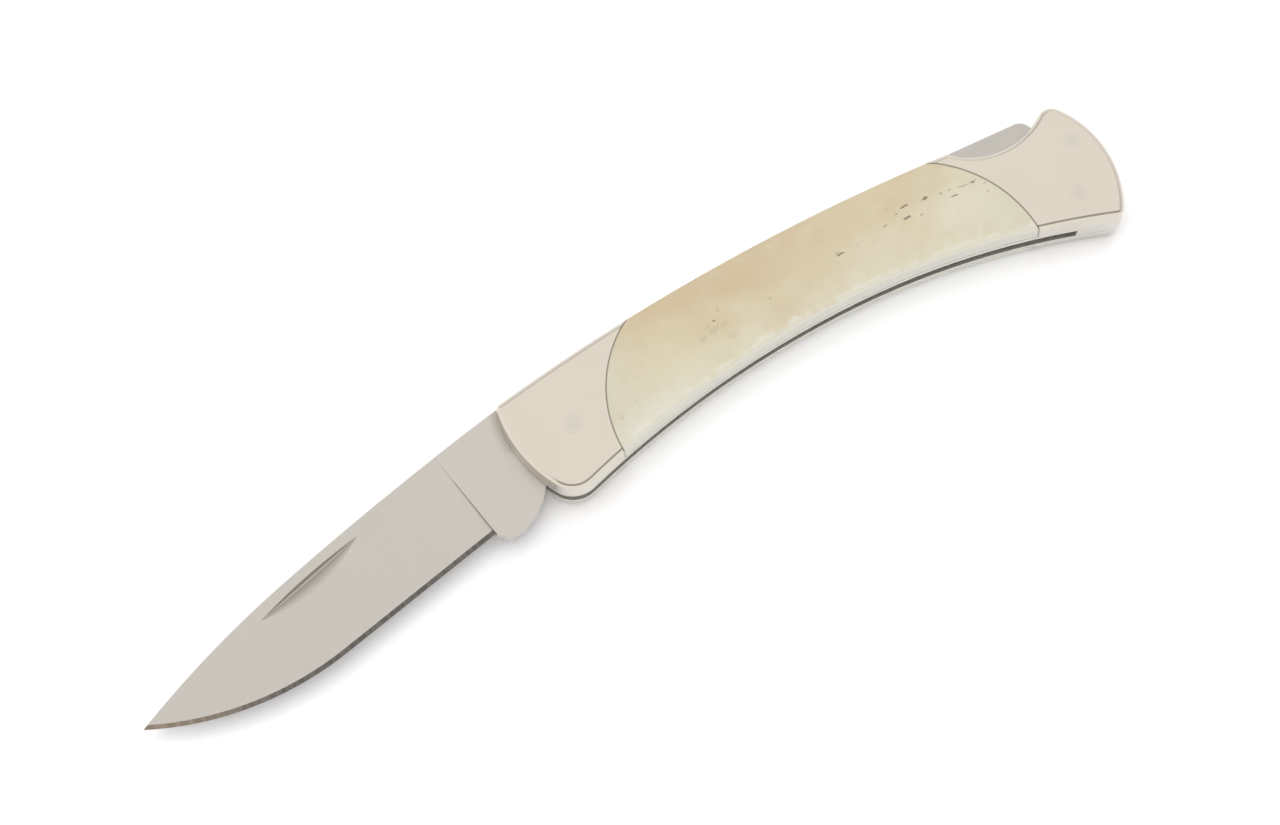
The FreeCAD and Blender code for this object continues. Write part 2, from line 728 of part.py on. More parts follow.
# Lock bar: lug over the tang, thin front arm, boss on the rocker pin, deep rear arm with thumb pad
def lock_bar():
    body = new_body("lock_bar")
    sketch = new_sketch(body, "lock_bar_outline")
    front_y = spine_height(-half_lug) + size("bar_front_proud")
    root_y = lug_bottom + size("lug_height")
    arm_x = size("arm_x")
    arm_y = spine_height(arm_x) - size("arm_depth")
    pad_x = butt_x - size("thumb_pad_inset")
    pad_y = spine_height(pad_x) + size("thumb_pad_proud")
    rear_x = bar_rear_x
    rear_radius = size("bar_rear_radius")
    top_radius = size("bar_top_radius")

    boss_centre = (rocker_x.value, rocker_y.value)
    front_top = (-half_lug.value, front_y.value)
    pad_start = (pad_x.value, pad_y.value)
    arm = (arm_x.value, arm_y.value)
    far_below = (pad_start[0], -beyond.value)
    top_centre = circles_meet(front_top, top_radius.value, pad_start, top_radius.value, far_below)
    # The thumb pad runs on straight from the top arc
    fall = math.atan2(pad_start[0] - top_centre[0], pad_start[1] - top_centre[1])
    pad_run = (math.cos(fall), -math.sin(fall))
    rear_centre_x = rear_x.value - rear_radius.value
    along = (rear_centre_x + rear_radius.value * math.sin(fall) - pad_start[0]) / pad_run[0]
    pad_end = (pad_start[0] + pad_run[0] * along, pad_start[1] + pad_run[1] * along)
    rear_centre = (rear_centre_x, pad_end[1] - rear_radius.value * math.cos(fall))
    rear_face_top = (rear_x.value, rear_centre[1])
    # The front arm's underside touches the boss from its lower side
    reach = apart(arm, boss_centre)
    aim = math.atan2(boss_centre[1] - arm[1], boss_centre[0] - arm[0])
    slope = aim - math.asin(boss.value / reach)
    run = math.sqrt(reach**2 - boss.value**2)
    boss_start = (arm[0] + run * math.cos(slope), arm[1] + run * math.sin(slope))
    boss_end = (boss_centre[0], boss_bottom.value)
    lug_front = (-half_lug.value, lug_bottom.value)
    lug_back = (half_lug.value, lug_bottom.value)
    lug_root = (half_lug.value, root_y.value)
    rear_low = (rear_x.value, bar_rear_bottom.value)

    chain = Outline(sketch)
    lug_line = chain.line(lug_front, lug_back)
    lug_wall = chain.line(lug_back, lug_root)
    arm_line = chain.line(lug_root, arm)
    slope_line = chain.line(arm, boss_start)
    boss_arc = chain.arc(boss_start, boss_end, boss_centre, 1)
    chain.line(boss_end, rear_low)
    rear_line = chain.line(rear_low, rear_face_top)
    rear_arc = chain.arc(rear_face_top, pad_end, rear_centre, 1)
    pad_line = chain.line(pad_end, pad_start)
    top_arc = chain.arc(pad_start, front_top, top_centre, 1)
    front_line = chain.line(front_top, lug_front)
    chain.close(smooth=(slope_line, rear_line, rear_arc, pad_line))
    hold_y(sketch, lug_line, START, lug_bottom)
    hold_x(sketch, lug_wall, START, half_lug)
    hold_y(sketch, lug_wall, END, root_y)
    hold_point(sketch, arm_line, END, arm_x, arm_y)
    hold_point(sketch, boss_arc, CENTRE, rocker_x, rocker_y)
    hold_radius(sketch, boss_arc, boss)
    hold_x(sketch, boss_arc, END, rocker_x)
    hold_point(sketch, rear_line, START, rear_x, bar_rear_bottom)
    hold_radius(sketch, rear_arc, rear_radius)
    hold_point(sketch, pad_line, END, pad_x, pad_y)
    hold_radius(sketch, top_arc, top_radius)
    hold_x(sketch, front_line, END, -half_lug)
    hold_y(sketch, front_line, START, front_y)
    level(sketch, lug_line)
    for line in (lug_wall, rear_line, front_line):
        upright(sketch, line)
    pad(body, sketch, blade_thickness)
    drill(body, "lock_bar_bore", rocker_x, rocker_y, rocker_bush + size("press_clearance"))
    body.setExpression("Placement.Base.z", (middle - blade_thickness / 2).text)
    return body


nodes.append(lock_bar())


# Blade, drawn open. Along and across mean along the cutting edge and square to it.
edge_angle = size("edge_angle")
half_blade = blade_thickness / 2
blade_spine_radius = size("blade_spine_radius")
blade_spine_x = blade_spine_radius * sine(size("blade_spine_angle"))
blade_top = spine_height(zero) + size("blade_proud")
blade_spine_y = blade_top - blade_spine_radius * cosine(size("blade_spine_angle"))


def blade_back(x):
    """Height of the blade's back above the pivot, as it runs before the point drops away from it."""
    run = x - blade_spine_x
    return blade_spine_y + root(blade_spine_radius * blade_spine_radius - run * run)


tip_x = -size("tip_reach")
tip_y = blade_back(tip_x) - size("tip_drop")


def from_edge_axes(along, across):
    """A place given along and across the cutting edge, from the pivot."""
    x = along * cosine(edge_angle) - across * sine(edge_angle)
    y = along * sine(edge_angle) + across * cosine(edge_angle)
    return x, y


def across_edge(x, y):
    return y * cosine(edge_angle) - x * sine(edge_angle)


def along_edge(x, y):
    return x * cosine(edge_angle) + y * sine(edge_angle)


def sweep_centre():
    """Centre of the curved part of the cutting edge: it touches the straight part and ends at the tip."""
    radius = size("sweep_radius")
    across = radius - size("edge_offset")
    rise = across - across_edge(tip_x, tip_y)
    return from_edge_axes(along_edge(tip_x, tip_y) + root(radius * radius - rise * rise), across)


def draw_blade(sketch):
    angle = math.radians(edge_angle.value)
    square = (-math.sin(angle), math.cos(angle))

    def off_edge(distance):
        """The foot of the pivot on a line beside the cutting edge."""
        return (square[0] * distance, square[1] * distance)

    origin = (0.0, 0.0)
    tip = (tip_x.value, tip_y.value)
    sweep_r = size("sweep_radius")
    heel_r, kick_r = size("heel_radius"), size("kick_radius")
    tang_r, throat_r = size("tang_radius"), size("throat_radius")
    ricasso_back = size("kick_x") + size("ricasso_setback")
    ricasso_r = ricasso_back - tang_r + size("ricasso_overlap")
    sweep_x, sweep_y = sweep_centre()
    sweep_c = (sweep_x.value, sweep_y.value)
    sweep_end = (sweep_c[0] - square[0] * sweep_r.value, sweep_c[1] - square[1] * sweep_r.value)
    kick_c = (-size("kick_x").value, -size("kick_y").value)
    below = off_edge(-size("edge_offset").value - heel_r.value)
    heel_side = (2 * kick_c[0], kick_c[1])
    heel_c = line_meets_circle(below, angle, kick_c, kick_r.value + heel_r.value, heel_side)
    heel_start = (heel_c[0] + square[0] * heel_r.value, heel_c[1] + square[1] * heel_r.value)
    heel_end = toward(kick_c, heel_c, kick_r.value)
    ricasso_x = -ricasso_back.value
    rise = math.sqrt((ricasso_r.value - kick_r.value) ** 2 - (kick_c[0] - ricasso_x) ** 2)
    ricasso_c = (ricasso_x, kick_c[1] + rise)
    kick_end = toward(ricasso_c, kick_c, ricasso_r.value)
    throat_c = circles_meet(
        ricasso_c, ricasso_r.value + throat_r.value, origin, tang_r.value + throat_r.value, kick_c
    )
    ricasso_end = toward(ricasso_c, throat_c, ricasso_r.value)
    tang_start = toward(origin, throat_c, tang_r.value)

    # The flat that comes under the lug when the blade is shut
    half_turn_angle = as_size(180)
    flat_angle = half_turn_angle - size("fold_angle")
    turn = math.radians(flat_angle.value)
    flat_run = (math.cos(turn), math.sin(turn))
    flat_half = math.sqrt(tang_r.value**2 - tang_floor.value**2)
    flat_foot = (flat_run[1] * tang_floor.value, -flat_run[0] * tang_floor.value)
    flat_start = (flat_foot[0] - flat_run[0] * flat_half, flat_foot[1] - flat_run[1] * flat_half)
    flat_end = (flat_foot[0] + flat_run[0] * flat_half, flat_foot[1] + flat_run[1] * flat_half)

    # The notch that the lug drops into, and the step in front of it
    back_x, wall_x, floor_y = notch_back_x.value, step_x.value, tang_floor.value
    back_top = (back_x, math.sqrt(tang_r.value**2 - back_x**2))
    spine_r = blade_spine_radius
    spine_c = (blade_spine_x.value, blade_spine_y.value)
    wall_top = (wall_x, blade_back(step_x).value)
    point_r = size("point_radius")
    point_c = circles_meet(spine_c, spine_r.value - point_r.value, tip, point_r.value, (0, -point_r.value))
    point_start = toward(spine_c, point_c, spine_r.value)

    chain = Outline(sketch)
    sweep = chain.arc(tip, sweep_end, sweep_c, 1)
    edge = chain.line(sweep_end, heel_start)
    heel = chain.arc(heel_start, heel_end, heel_c, -1)
    kick = chain.arc(heel_end, kick_end, kick_c, 1)
    ricasso = chain.arc(kick_end, ricasso_end, ricasso_c, 1)
    throat = chain.arc(ricasso_end, tang_start, throat_c, -1)
    tang_low = chain.arc(tang_start, flat_start, origin, 1)
    flat = chain.line(flat_start, flat_end)
    tang_rear = chain.arc(flat_end, back_top, origin, 1)
    notch_back = chain.line(back_top, (back_x, floor_y))
    notch_floor = chain.line((back_x, floor_y), (wall_x, floor_y))
    step = chain.line((wall_x, floor_y), wall_top)
    spine = chain.arc(wall_top, point_start, spine_c, 1)
    point = chain.arc(point_start, tip, point_c, 1)
    chain.close(smooth=(sweep, edge, heel, kick, ricasso, throat, spine))
    hold_point(sketch, sweep, START, tip_x, tip_y)
    hold_angle(sketch, edge, edge_angle)
    hold(sketch, "Distance", (*ORIGIN, edge), size("edge_offset"))
    hold_point(sketch, kick, CENTRE, -size("kick_x"), -size("kick_y"))
    hold_x(sketch, ricasso, CENTRE, -ricasso_back)
    for arc in (tang_low, tang_rear):
        sketch.addConstraint(Sketcher.Constraint("Coincident", arc, CENTRE, *ORIGIN))
        hold_radius(sketch, arc, tang_r)
    hold_angle(sketch, flat, flat_angle)
    hold(sketch, "Distance", (*ORIGIN, flat), tang_floor)
    hold_x(sketch, notch_back, END, notch_back_x)
    hold_y(sketch, notch_floor, START, tang_floor)
    hold_x(sketch, step, START, step_x)
    upright(sketch, notch_back)
    level(sketch, notch_floor)
    upright(sketch, step)
    hold_point(sketch, spine, CENTRE, blade_spine_x, blade_spine_y)
    for arc, radius in (
        (sweep, sweep_r), (heel, heel_r), (kick, kick_r), (ricasso, ricasso_r),
        (throat, throat_r), (spine, spine_r), (point, point_r),
    ):
        hold_radius(sketch, arc, radius)


def blade_blank():
    body = new_body("blade_blank")
    sketch = new_sketch(body, "blade_outline")
    draw_blade(sketch)
    pad(body, sketch, blade_thickness, both_ways=True)
    drill(body, "blade_bore", zero, zero, pivot_bush + size("press_clearance"))
    return body


# Cutters run past the faces that they shape by this share
overrun = 1.2
envelope_height = half_blade * overrun


def envelope(label, draw_section, outer_inset, middle_inset):
    """A body that narrows alike above and below the middle of the blade."""
    body = new_body(label)
    sections = []
    for name, lift, inset in (
        ("low", -envelope_height, outer_inset),
        ("middle", zero, middle_inset),
        ("high", envelope_height, outer_inset),
    ):
        sketch = new_sketch(body, f"{label}_{name}", lift=lift)
        draw_section(sketch, inset)
        sections.append(sketch)
    loft = body.newObject("PartDesign::AdditiveLoft", f"{label}_loft")
    loft.Profile = sections[0]
    loft.Sections = sections[1:]
    loft.Ruled = True
    doc.recompute()
    return body


def draw_ground_section(sketch, inset):
    """The cutting edge moved in by a distance, closed far behind the blade."""
    radius = size("sweep_radius") - inset
    centre_x, centre_y = sweep_centre()
    right = size("butt_reach")
    top = centre_y + size("sweep_radius")
    centre = (centre_x.value, centre_y.value)
    angle = math.radians(edge_angle.value)
    touch = (centre[0] + radius.value * math.sin(angle), centre[1] - radius.value * math.cos(angle))
    edge_end = (right.value, touch[1] + (right.value - touch[0]) * math.tan(angle))
    left_x = centre[0] - radius.value
    chain = Outline(sketch)
    arc = chain.arc((left_x, centre[1]), touch, centre, 1)
    edge = chain.line(touch, edge_end)
    right_line = chain.line(edge_end, (right.value, top.value))
    top_line = chain.line((right.value, top.value), (left_x, top.value))
    left_line = chain.line((left_x, top.value), (left_x, centre[1]))
    chain.close(smooth=(arc, left_line))
    hold_point(sketch, arc, CENTRE, centre_x, centre_y)
    hold_radius(sketch, arc, radius)
    hold_angle(sketch, edge, edge_angle)
    hold_x(sketch, right_line, START, right)
    hold_y(sketch, top_line, START, top)
    upright(sketch, right_line)
    upright(sketch, left_line)
    level(sketch, top_line)


def draw_tang_section(sketch, inset):
    """The unground part of the blade, in front of the plunge line by less and less."""
    front = -size("plunge_x") + inset
    rear = size("butt_reach")
    side = size("butt_reach")
    Outline(sketch).polygon([
        from_edge_axes(front, -side),
        from_edge_axes(rear, -side),
        from_edge_axes(rear, side),
        from_edge_axes(front, side),
    ])


def boolean(kind, name, base, tool):
    feature = doc.addObject(f"Part::{kind}", name)
    feature.Base = base
    feature.Tool = tool
    doc.recompute()
    return feature


def flat_cone(name, x, y, z, radii, height):
    """A wide flat cone whose axis lies along the blade's face and points across the nick, to the edge."""
    turn = size("nick_angle")
    cone = doc.addObject("Part::Cone", name)
    cone.Placement.Rotation = FreeCAD.Rotation(Vector(1, 0, 0), 90)
    for target, amount in (
        ("Radius1", radii[0]),
        ("Radius2", radii[1]),
        ("Height", height),
        ("Placement.Base.x", x),
        ("Placement.Base.y", y),
        ("Placement.Base.z", z),
        ("Placement.Rotation.Axis.x", cosine(turn)),
        ("Placement.Rotation.Axis.y", sine(turn)),
    ):
        cone.setExpression(target, amount.text)
    doc.recompute()
    return cone


def nick_cutter():
    """Two cones that meet at the nick's crease: one cuts its sloping floor, the other its steep wall."""
    depth = size("nick_depth")
    length = size("nick_length")
    turn = size("nick_angle")
    lean = tangent(size("grind_angle"))
    x = -size("nick_x")
    y = blade_back(x) - size("nick_drop")
    radius = (length * length / 4 + depth * depth) / (depth * 2)
    from_edge = across_edge(x, y) + size("edge_offset")
    face = size("edge_thickness") / 2 + lean * from_edge
    z = face + radius - depth
    reach = size("nick_floor_width") * overrun
    far_radius = radius - (depth / size("nick_floor_width") - lean) * reach
    floor = flat_cone("nick_floor", x, y, z, (radius, far_radius), reach)
    rise = size("nick_wall_width") * overrun
    wall_x = x - sine(turn) * rise
    wall_y = y + cosine(turn) * rise
    wall = flat_cone("nick_wall", wall_x, wall_y, z, (radius - depth * overrun, radius), rise)
    return boolean("Fuse", "nick_cutter", floor, wall)


def blade():
    grind = size("grind_angle")
    half_edge = size("edge_thickness") / 2
    bevel_inset = envelope_height / tangent(size("bevel_angle"))
    grind_inset = (envelope_height - half_edge) / tangent(grind)
    slope = tangent(size("plunge_angle"))
    flats = envelope("blade_flats", draw_ground_section, grind_inset, -half_edge / tangent(grind))
    bevels = envelope("blade_bevels", draw_ground_section, bevel_inset, zero)
    tang = envelope(
        "blade_tang", draw_tang_section, (envelope_height - half_blade) * slope, -half_blade * slope
    )
    ground = boolean("Common", "blade_ground", flats, bevels)
    whole = boolean("Fuse", "blade_envelope", ground, tang)
    shaped = boolean("Common", "blade_shaped", blade_blank(), whole)
    feature = boolean("Cut", "blade", shaped, nick_cutter())
    feature.Label = "blade"
    feature.setExpression("Placement.Base.z", middle.text)
    doc.recompute()
    return feature


nodes.append(blade())

# Check the whole document, then write one file for each piece
doc.recompute()
for item in doc.Objects:
    if "Invalid" in item.State or "Error" in item.State:
        raise RuntimeError(f"{item.Label} could not be built")
os.makedirs("parts", exist_ok=True)
for node in nodes:
    shape = node.Shape
    if shape.isNull() or not shape.isValid() or len(shape.Solids) != 1:
        raise RuntimeError(f"{node.Label} is not one sound solid")
for node in nodes:
    node.Shape.exportStep(f"parts/{node.Label}.step")
    print(node.Label, round(node.Shape.Volume, 1))
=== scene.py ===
# %% [markdown]
# # A lockback pocket knife with bone scales
#
# The knife lies open on its right side. Its pieces were drawn in CAD, so their shapes, places and joints
# are fixed before Blender starts. What is left for Blender is how the knife looks: polished bolsters,
# old bone, a satin blade with a freshly ground edge, and the light that shows them.

# %% Load the knife
import json
import math

import bpy
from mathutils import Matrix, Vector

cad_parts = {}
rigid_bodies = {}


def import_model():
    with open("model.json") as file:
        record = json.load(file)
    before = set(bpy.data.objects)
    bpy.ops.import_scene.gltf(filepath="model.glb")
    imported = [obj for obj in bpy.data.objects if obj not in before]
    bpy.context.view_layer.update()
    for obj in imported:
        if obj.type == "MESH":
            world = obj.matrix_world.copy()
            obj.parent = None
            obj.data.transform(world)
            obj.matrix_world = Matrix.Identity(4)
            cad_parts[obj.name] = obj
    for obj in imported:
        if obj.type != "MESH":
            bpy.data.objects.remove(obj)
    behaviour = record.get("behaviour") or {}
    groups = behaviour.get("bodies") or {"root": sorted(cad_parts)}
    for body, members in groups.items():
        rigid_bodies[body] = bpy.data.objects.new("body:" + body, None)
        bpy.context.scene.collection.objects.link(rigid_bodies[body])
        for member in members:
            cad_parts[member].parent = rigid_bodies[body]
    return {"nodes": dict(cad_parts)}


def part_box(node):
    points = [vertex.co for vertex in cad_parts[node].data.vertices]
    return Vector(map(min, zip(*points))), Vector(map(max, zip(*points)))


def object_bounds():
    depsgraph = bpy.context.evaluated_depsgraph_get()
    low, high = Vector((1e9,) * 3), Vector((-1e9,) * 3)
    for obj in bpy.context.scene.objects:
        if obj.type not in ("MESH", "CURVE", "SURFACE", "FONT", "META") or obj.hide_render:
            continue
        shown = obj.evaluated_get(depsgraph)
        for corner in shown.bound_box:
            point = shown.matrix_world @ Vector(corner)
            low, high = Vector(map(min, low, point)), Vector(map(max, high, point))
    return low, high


# A new Blender file comes with a cube, a lamp and a camera, which would count as pieces of the knife.
bpy.ops.object.select_all(action="SELECT")
bpy.ops.object.delete()
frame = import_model()
cad_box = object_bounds()
nodes = frame["nodes"]
bpy.ops.object.select_all(action="DESELECT")

# %% [markdown]
# ## The camera
#
# The knife is seen from almost straight above, a little from its edge side, so that a thin strip of the
# handle's lower wall shows. A long lens keeps the blade and the butt at the same scale. A constraint could
# aim the camera. Here it hangs on a line through one point of the table instead, so that its two angles
# and its distance can be changed without losing the framing.

# %% Hang the camera over the table
MM = 0.001
AIM = (9.23 * MM, -0.76 * MM, 0.0)
TILT = math.radians(12.0)
TURN = math.radians(-28.0)
DISTANCE = 462.8 * MM
LENS_MM = 100.0
SENSOR_MM = 36.0
NEAREST = 10.0 * MM

back = (math.sin(TILT) * math.sin(TURN), -math.sin(TILT) * math.cos(TURN), math.cos(TILT))
place = [aim + DISTANCE * share for aim, share in zip(AIM, back)]
bpy.ops.object.camera_add(location=place, rotation=(TILT, 0.0, TURN))
camera = bpy.context.object
camera.name = "table_camera"
camera.data.lens = LENS_MM
camera.data.sensor_width = SENSOR_MM
camera.data.clip_start = NEAREST
bpy.context.scene.camera = camera
print("camera at", [round(value, 4) for value in place])

# %% [markdown]
# ## The table
#
# A plain white sheet under the knife catches the soft shadow and sends light back up into the lower walls
# of the handle. It lies a hair below the knife, because two faces in exactly the same place flicker.

# %% Lay the sheet
SHEET_SIZE = 4.0
SHEET_DROP = 0.02 * MM
bpy.ops.mesh.primitive_plane_add(size=SHEET_SIZE, location=(0.0, 0.0, -SHEET_DROP))
sheet = bpy.context.object
sheet.name = "white_sheet"
print(sheet.name, "is", SHEET_SIZE, "m wide")

# %% [markdown]
# ## Light
#
# Polished metal shows what it mirrors. Flat bolsters under one even softbox come out as one even warm
# white, and every bevel that leans towards the dark camera side turns brown or grey. So there is one
# softbox above and behind the knife. Two more lamps light only the white sheet and the bone. They are
# hidden from mirrors, so they leave the metal alone. One lifts the table to white, and is small enough to
# keep the shadow narrow. The other stands in front, where it brightens the lower wall of the bone.

# %% Hang the softboxes
WARM_WHITE = (1.0, 0.985, 0.96)
PLAIN_WHITE = (1.0, 1.0, 1.0)


def softbox(name, centre, lean, width, depth, power, colour, mirrored):
    """An area lamp that looks down, or up towards the knife's back by the lean in degrees."""
    bpy.ops.object.light_add(type="AREA", location=centre, rotation=(math.radians(lean), 0.0, 0.0))
    lamp = bpy.context.object
    lamp.name = name
    lamp.data.shape = "RECTANGLE"
    lamp.data.size = width
    lamp.data.size_y = depth
    lamp.data.energy = power
    lamp.data.color = colour
    lamp.visible_glossy = mirrored
    print(name, power, "W, mirrored" if mirrored else "W, not mirrored")


softbox(
    "overhead_softbox", centre=(0.05, 0.32, 0.80), lean=0.0,
    width=1.5, depth=0.95, power=3.1, colour=WARM_WHITE, mirrored=True,
)
softbox(
    "table_fill", centre=(-0.03, 0.04, 1.2), lean=0.0,
    width=0.7, depth=0.7, power=6.6, colour=PLAIN_WHITE, mirrored=False,
)
softbox(
    "front_fill", centre=(0.05, -0.6, 0.35), lean=60.0,
    width=1.0, depth=0.5, power=0.6, colour=PLAIN_WHITE, mirrored=False,
)

# %% [markdown]
# ## Working with shader nodes
#
# A finish is a small net of nodes, and so is the room. By hand, nodes are dragged together in the shader
# editor. In code, four short helpers do the same: one adds any node and fills its inputs, one stretches a
# value from one range to another, one mixes two colours, and one takes a place apart into three numbers.

# %% Add nodes, stretch values, mix colours
def add_node(tree, kind, inputs, **options):
    """A node with its options set, and each input given a value or another node's output."""
    node = tree.nodes.new("ShaderNode" + kind)
    for option, value in options.items():
        setattr(node, option, value)
    for name, value in inputs.items():
        if isinstance(value, bpy.types.NodeSocket):
            tree.links.new(value, node.inputs[name])
        else:
            node.inputs[name].default_value = value
    return node


def spread(tree, value, low, high, new_low, new_high):
    """Stretch a value from one range to another, with soft ends."""
    inputs = {"Value": value, "From Min": low, "From Max": high, "To Min": new_low, "To Max": new_high}
    return add_node(tree, "MapRange", inputs, interpolation_type="SMOOTHSTEP").outputs["Result"]


def blend(tree, share, first, second):
    """Mix two colours."""
    # A Mix node has sockets for every kind of data. Its colours go in at 6 and 7 and come out at 2.
    node = add_node(tree, "Mix", {"Factor": share}, data_type="RGBA")
    for socket, colour in ((6, first), (7, second)):
        if isinstance(colour, bpy.types.NodeSocket):
            tree.links.new(colour, node.inputs[socket])
        else:
            node.inputs[socket].default_value = (*colour, 1.0)
    return node.outputs[2]


def axes(tree, vector):
    """The three numbers of a place or a direction."""
    return add_node(tree, "SeparateXYZ", {"Vector": vector}).outputs


print("helpers for nodes: add_node, spread, blend, axes")

# %% [markdown]
# ## The room
#
# What the softbox doesn't cover, metal fills with the room. The walls are bright near the table, as the
# sides of a light tent are, and dimmer higher up, where the camera looks in. So the eased edges of the
# bolsters turn tan where they lean a little, and light where they lean far. Only mirrors see these walls:
# paper and bone get an even grey light from all round, which keeps the shadow neutral, and the camera
# sees white behind the table. A Light Path node tells the three kinds of ray apart.

# %% Paint the room
DIM_WALL = (0.50, 0.49, 0.475)
BRIGHT_WALL = (1.24, 1.22, 1.18)
EVEN_LIGHT = (0.565, 0.565, 0.575)
HORIZON_WHITE = (0.96, 0.96, 0.96)
WALL_FADE = (0.36, 0.85)

room = bpy.data.worlds.new("grey_room")
bpy.context.scene.world = room
room.use_nodes = True
room_tree = room.node_tree
way = room_tree.nodes.new("ShaderNodeTexCoord").outputs["Generated"]
dimness = spread(room_tree, axes(room_tree, way)["Z"], *WALL_FADE, 0.0, 1.0)
wall = blend(room_tree, dimness, BRIGHT_WALL, DIM_WALL)
ray = room_tree.nodes.new("ShaderNodeLightPath")
shade = blend(room_tree, ray.outputs["Is Glossy Ray"], EVEN_LIGHT, wall)
shade = blend(room_tree, ray.outputs["Is Camera Ray"], shade, HORIZON_WHITE)
room_tree.links.new(shade, room_tree.nodes["Background"].inputs["Color"])
bpy.context.scene.view_settings.view_transform = "Standard"
print("room painted:", room.name)

# %% [markdown]
# ## Starting a finish
#
# Every finish here is a Principled shader fed by a few textures. The textures read Object coordinates. The
# CAD pieces sit at the origin with their place in their mesh, so these coordinates are places on the knife
# in metres, and a scratch or a bone pore can be put exactly where it belongs. Unwrapping the pieces for UV
# maps would take longer and would cut the pattern at every seam.

# %% Start a finish and put it on a piece
def start_finish(name):
    """A new material with an empty tree, a shader and the place on the knife."""
    material = bpy.data.materials.new(name)
    material.use_nodes = True
    tree = material.node_tree
    tree.nodes.clear()
    output = tree.nodes.new("ShaderNodeOutputMaterial")
    shader = tree.nodes.new("ShaderNodeBsdfPrincipled")
    tree.links.new(shader.outputs["BSDF"], output.inputs["Surface"])
    spot = tree.nodes.new("ShaderNodeTexCoord").outputs["Object"]
    return material, tree, shader, spot


def dress(material, *names):
    """Put a finish on CAD pieces. Their meshes stay as they are."""
    for name in names:
        nodes[name].material_slots[0].material = material
    print(material.name, "on", ", ".join(names))


print("helpers for materials: start_finish, dress")

# %% [markdown]
# Some values are worked out on the surface itself, so a few helpers do arithmetic with nodes. Noise is the
# main texture: squeezed along one axis, its clouds turn into the fine lines that belts and buffs leave.

# %% Do sums, make noise, tilt the surface
def sum_up(tree, operation, first, second):
    """One step of arithmetic."""
    return add_node(tree, "Math", {0: first, 1: second}, operation=operation).outputs["Value"]


def product(tree, first, *others):
    """Multiply any number of values."""
    for other in others:
        first = sum_up(tree, "MULTIPLY", first, other)
    return first


def without_sign(tree, value):
    """A value's distance from zero."""
    return add_node(tree, "Math", {0: value}, operation="ABSOLUTE").outputs["Value"]


def noise(tree, spot, waves, detail, squeeze=(1.0, 1.0, 1.0), turn=0.0):
    """Cloudy noise with so many waves in a metre, squeezed, and turned about the upright axis."""
    bed = add_node(tree, "Mapping", {"Vector": spot, "Rotation": (0.0, 0.0, turn), "Scale": squeeze})
    inputs = {"Vector": bed.outputs["Vector"], "Scale": waves, "Detail": detail}
    return add_node(tree, "TexNoise", inputs).outputs["Fac"]


def dent(tree, shader, height, distance):
    """Let a height map tilt the surface."""
    bump = add_node(tree, "Bump", {"Height": height, "Distance": distance, "Strength": 1.0})
    tree.links.new(bump.outputs["Normal"], shader.inputs["Normal"])


print("helpers for finishes: sum_up, product, without_sign, noise, dent")

# %% [markdown]
# ## Dirt in the seams
#
# Where a bolster meets the bone, years of polish and dirt have settled in the joint as one thin olive line.
# It could be a strip of mesh. But both seams are arcs on the side of the knife, so a narrow band at an even
# distance from the centre of the arc draws the line on both pieces at once, and stays true from any side.

# %% Draw the seams
# Each seam: its arc, as the centre along and across the handle and the radius in millimetres, and the way
# that the arc bulges, to the front -1 or to the rear 1
FRONT_SEAM = (((20.27, -5.37), 16.23), -1)
REAR_SEAM = (((46.85, -6.32), 17.94), 1)
SEAM_DIRT = (0.12, 0.11, 0.075)
SEAM_LINE = (0.04 * MM, 0.16 * MM)
SEAM_STRENGTH = 0.75


def from_arc(tree, spot, arc):
    """How far a spot lies outside an arc that is drawn on the side of the knife."""
    (along, across), radius = arc
    flat = add_node(tree, "VectorMath", {0: spot, 1: (1.0, 1.0, 0.0)}, operation="MULTIPLY").outputs[0]
    centre = (along * MM, across * MM, 0.0)
    reach = add_node(tree, "VectorMath", {0: flat, 1: centre}, operation="DISTANCE").outputs["Value"]
    return sum_up(tree, "SUBTRACT", reach, radius * MM)


def seam_mask(tree, spot, seam):
    """The dirt line of a seam, only on the half of its circle that faces the bolster."""
    arc, bulge = seam
    line = spread(tree, without_sign(tree, from_arc(tree, spot, arc)), *SEAM_LINE, SEAM_STRENGTH, 0.0)
    start = arc[0][0] * MM
    half = spread(tree, axes(tree, spot)["X"], start, start + bulge * MM, 0.0, 1.0)
    return product(tree, line, half)


print("seams of radius", FRONT_SEAM[0][1], "and", REAR_SEAM[0][1], "mm")

# %% [markdown]
# The rear spacer lies between the liners. There the dirt has settled at its two sides, so the line depends
# only on how far a spot is from the middle of the knife's thickness. The pins are hammered over and ground
# flush. Their rim has taken the bolster's own colour, and only the heart of each pin stays as a faint spot.

# %% Draw the spacer's joint and the hearts of the pins
MIDDLE_HEIGHT = (cad_box[0][2] + cad_box[1][2]) / 2.0
SPACER_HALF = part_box("rear_spacer")[1][2] - MIDDLE_HEIGHT
JOINT_LINE = (0.12 * MM, 0.02 * MM)
JOINT_STRENGTH = 0.6
PIN_HEART = 0.45


def from_middle(tree, spot):
    """How far a spot lies above or below the middle of the knife's thickness."""
    return without_sign(tree, sum_up(tree, "SUBTRACT", axes(tree, spot)["Z"], MIDDLE_HEIGHT))


def joint_mask(tree, spot, half_width):
    """The dirt line along both sides of a piece between the liners."""
    start, end = (half_width - inset for inset in JOINT_LINE)
    return spread(tree, from_middle(tree, spot), start, end, 0.0, JOINT_STRENGTH)


def pin_mask(tree, spot, axis, radius):
    """The heart of a pin, fading out towards its rim."""
    off_axis = from_arc(tree, spot, (axis, 0.0))
    return spread(tree, off_axis, PIN_HEART * radius * MM, radius * MM, 1.0, 0.0)


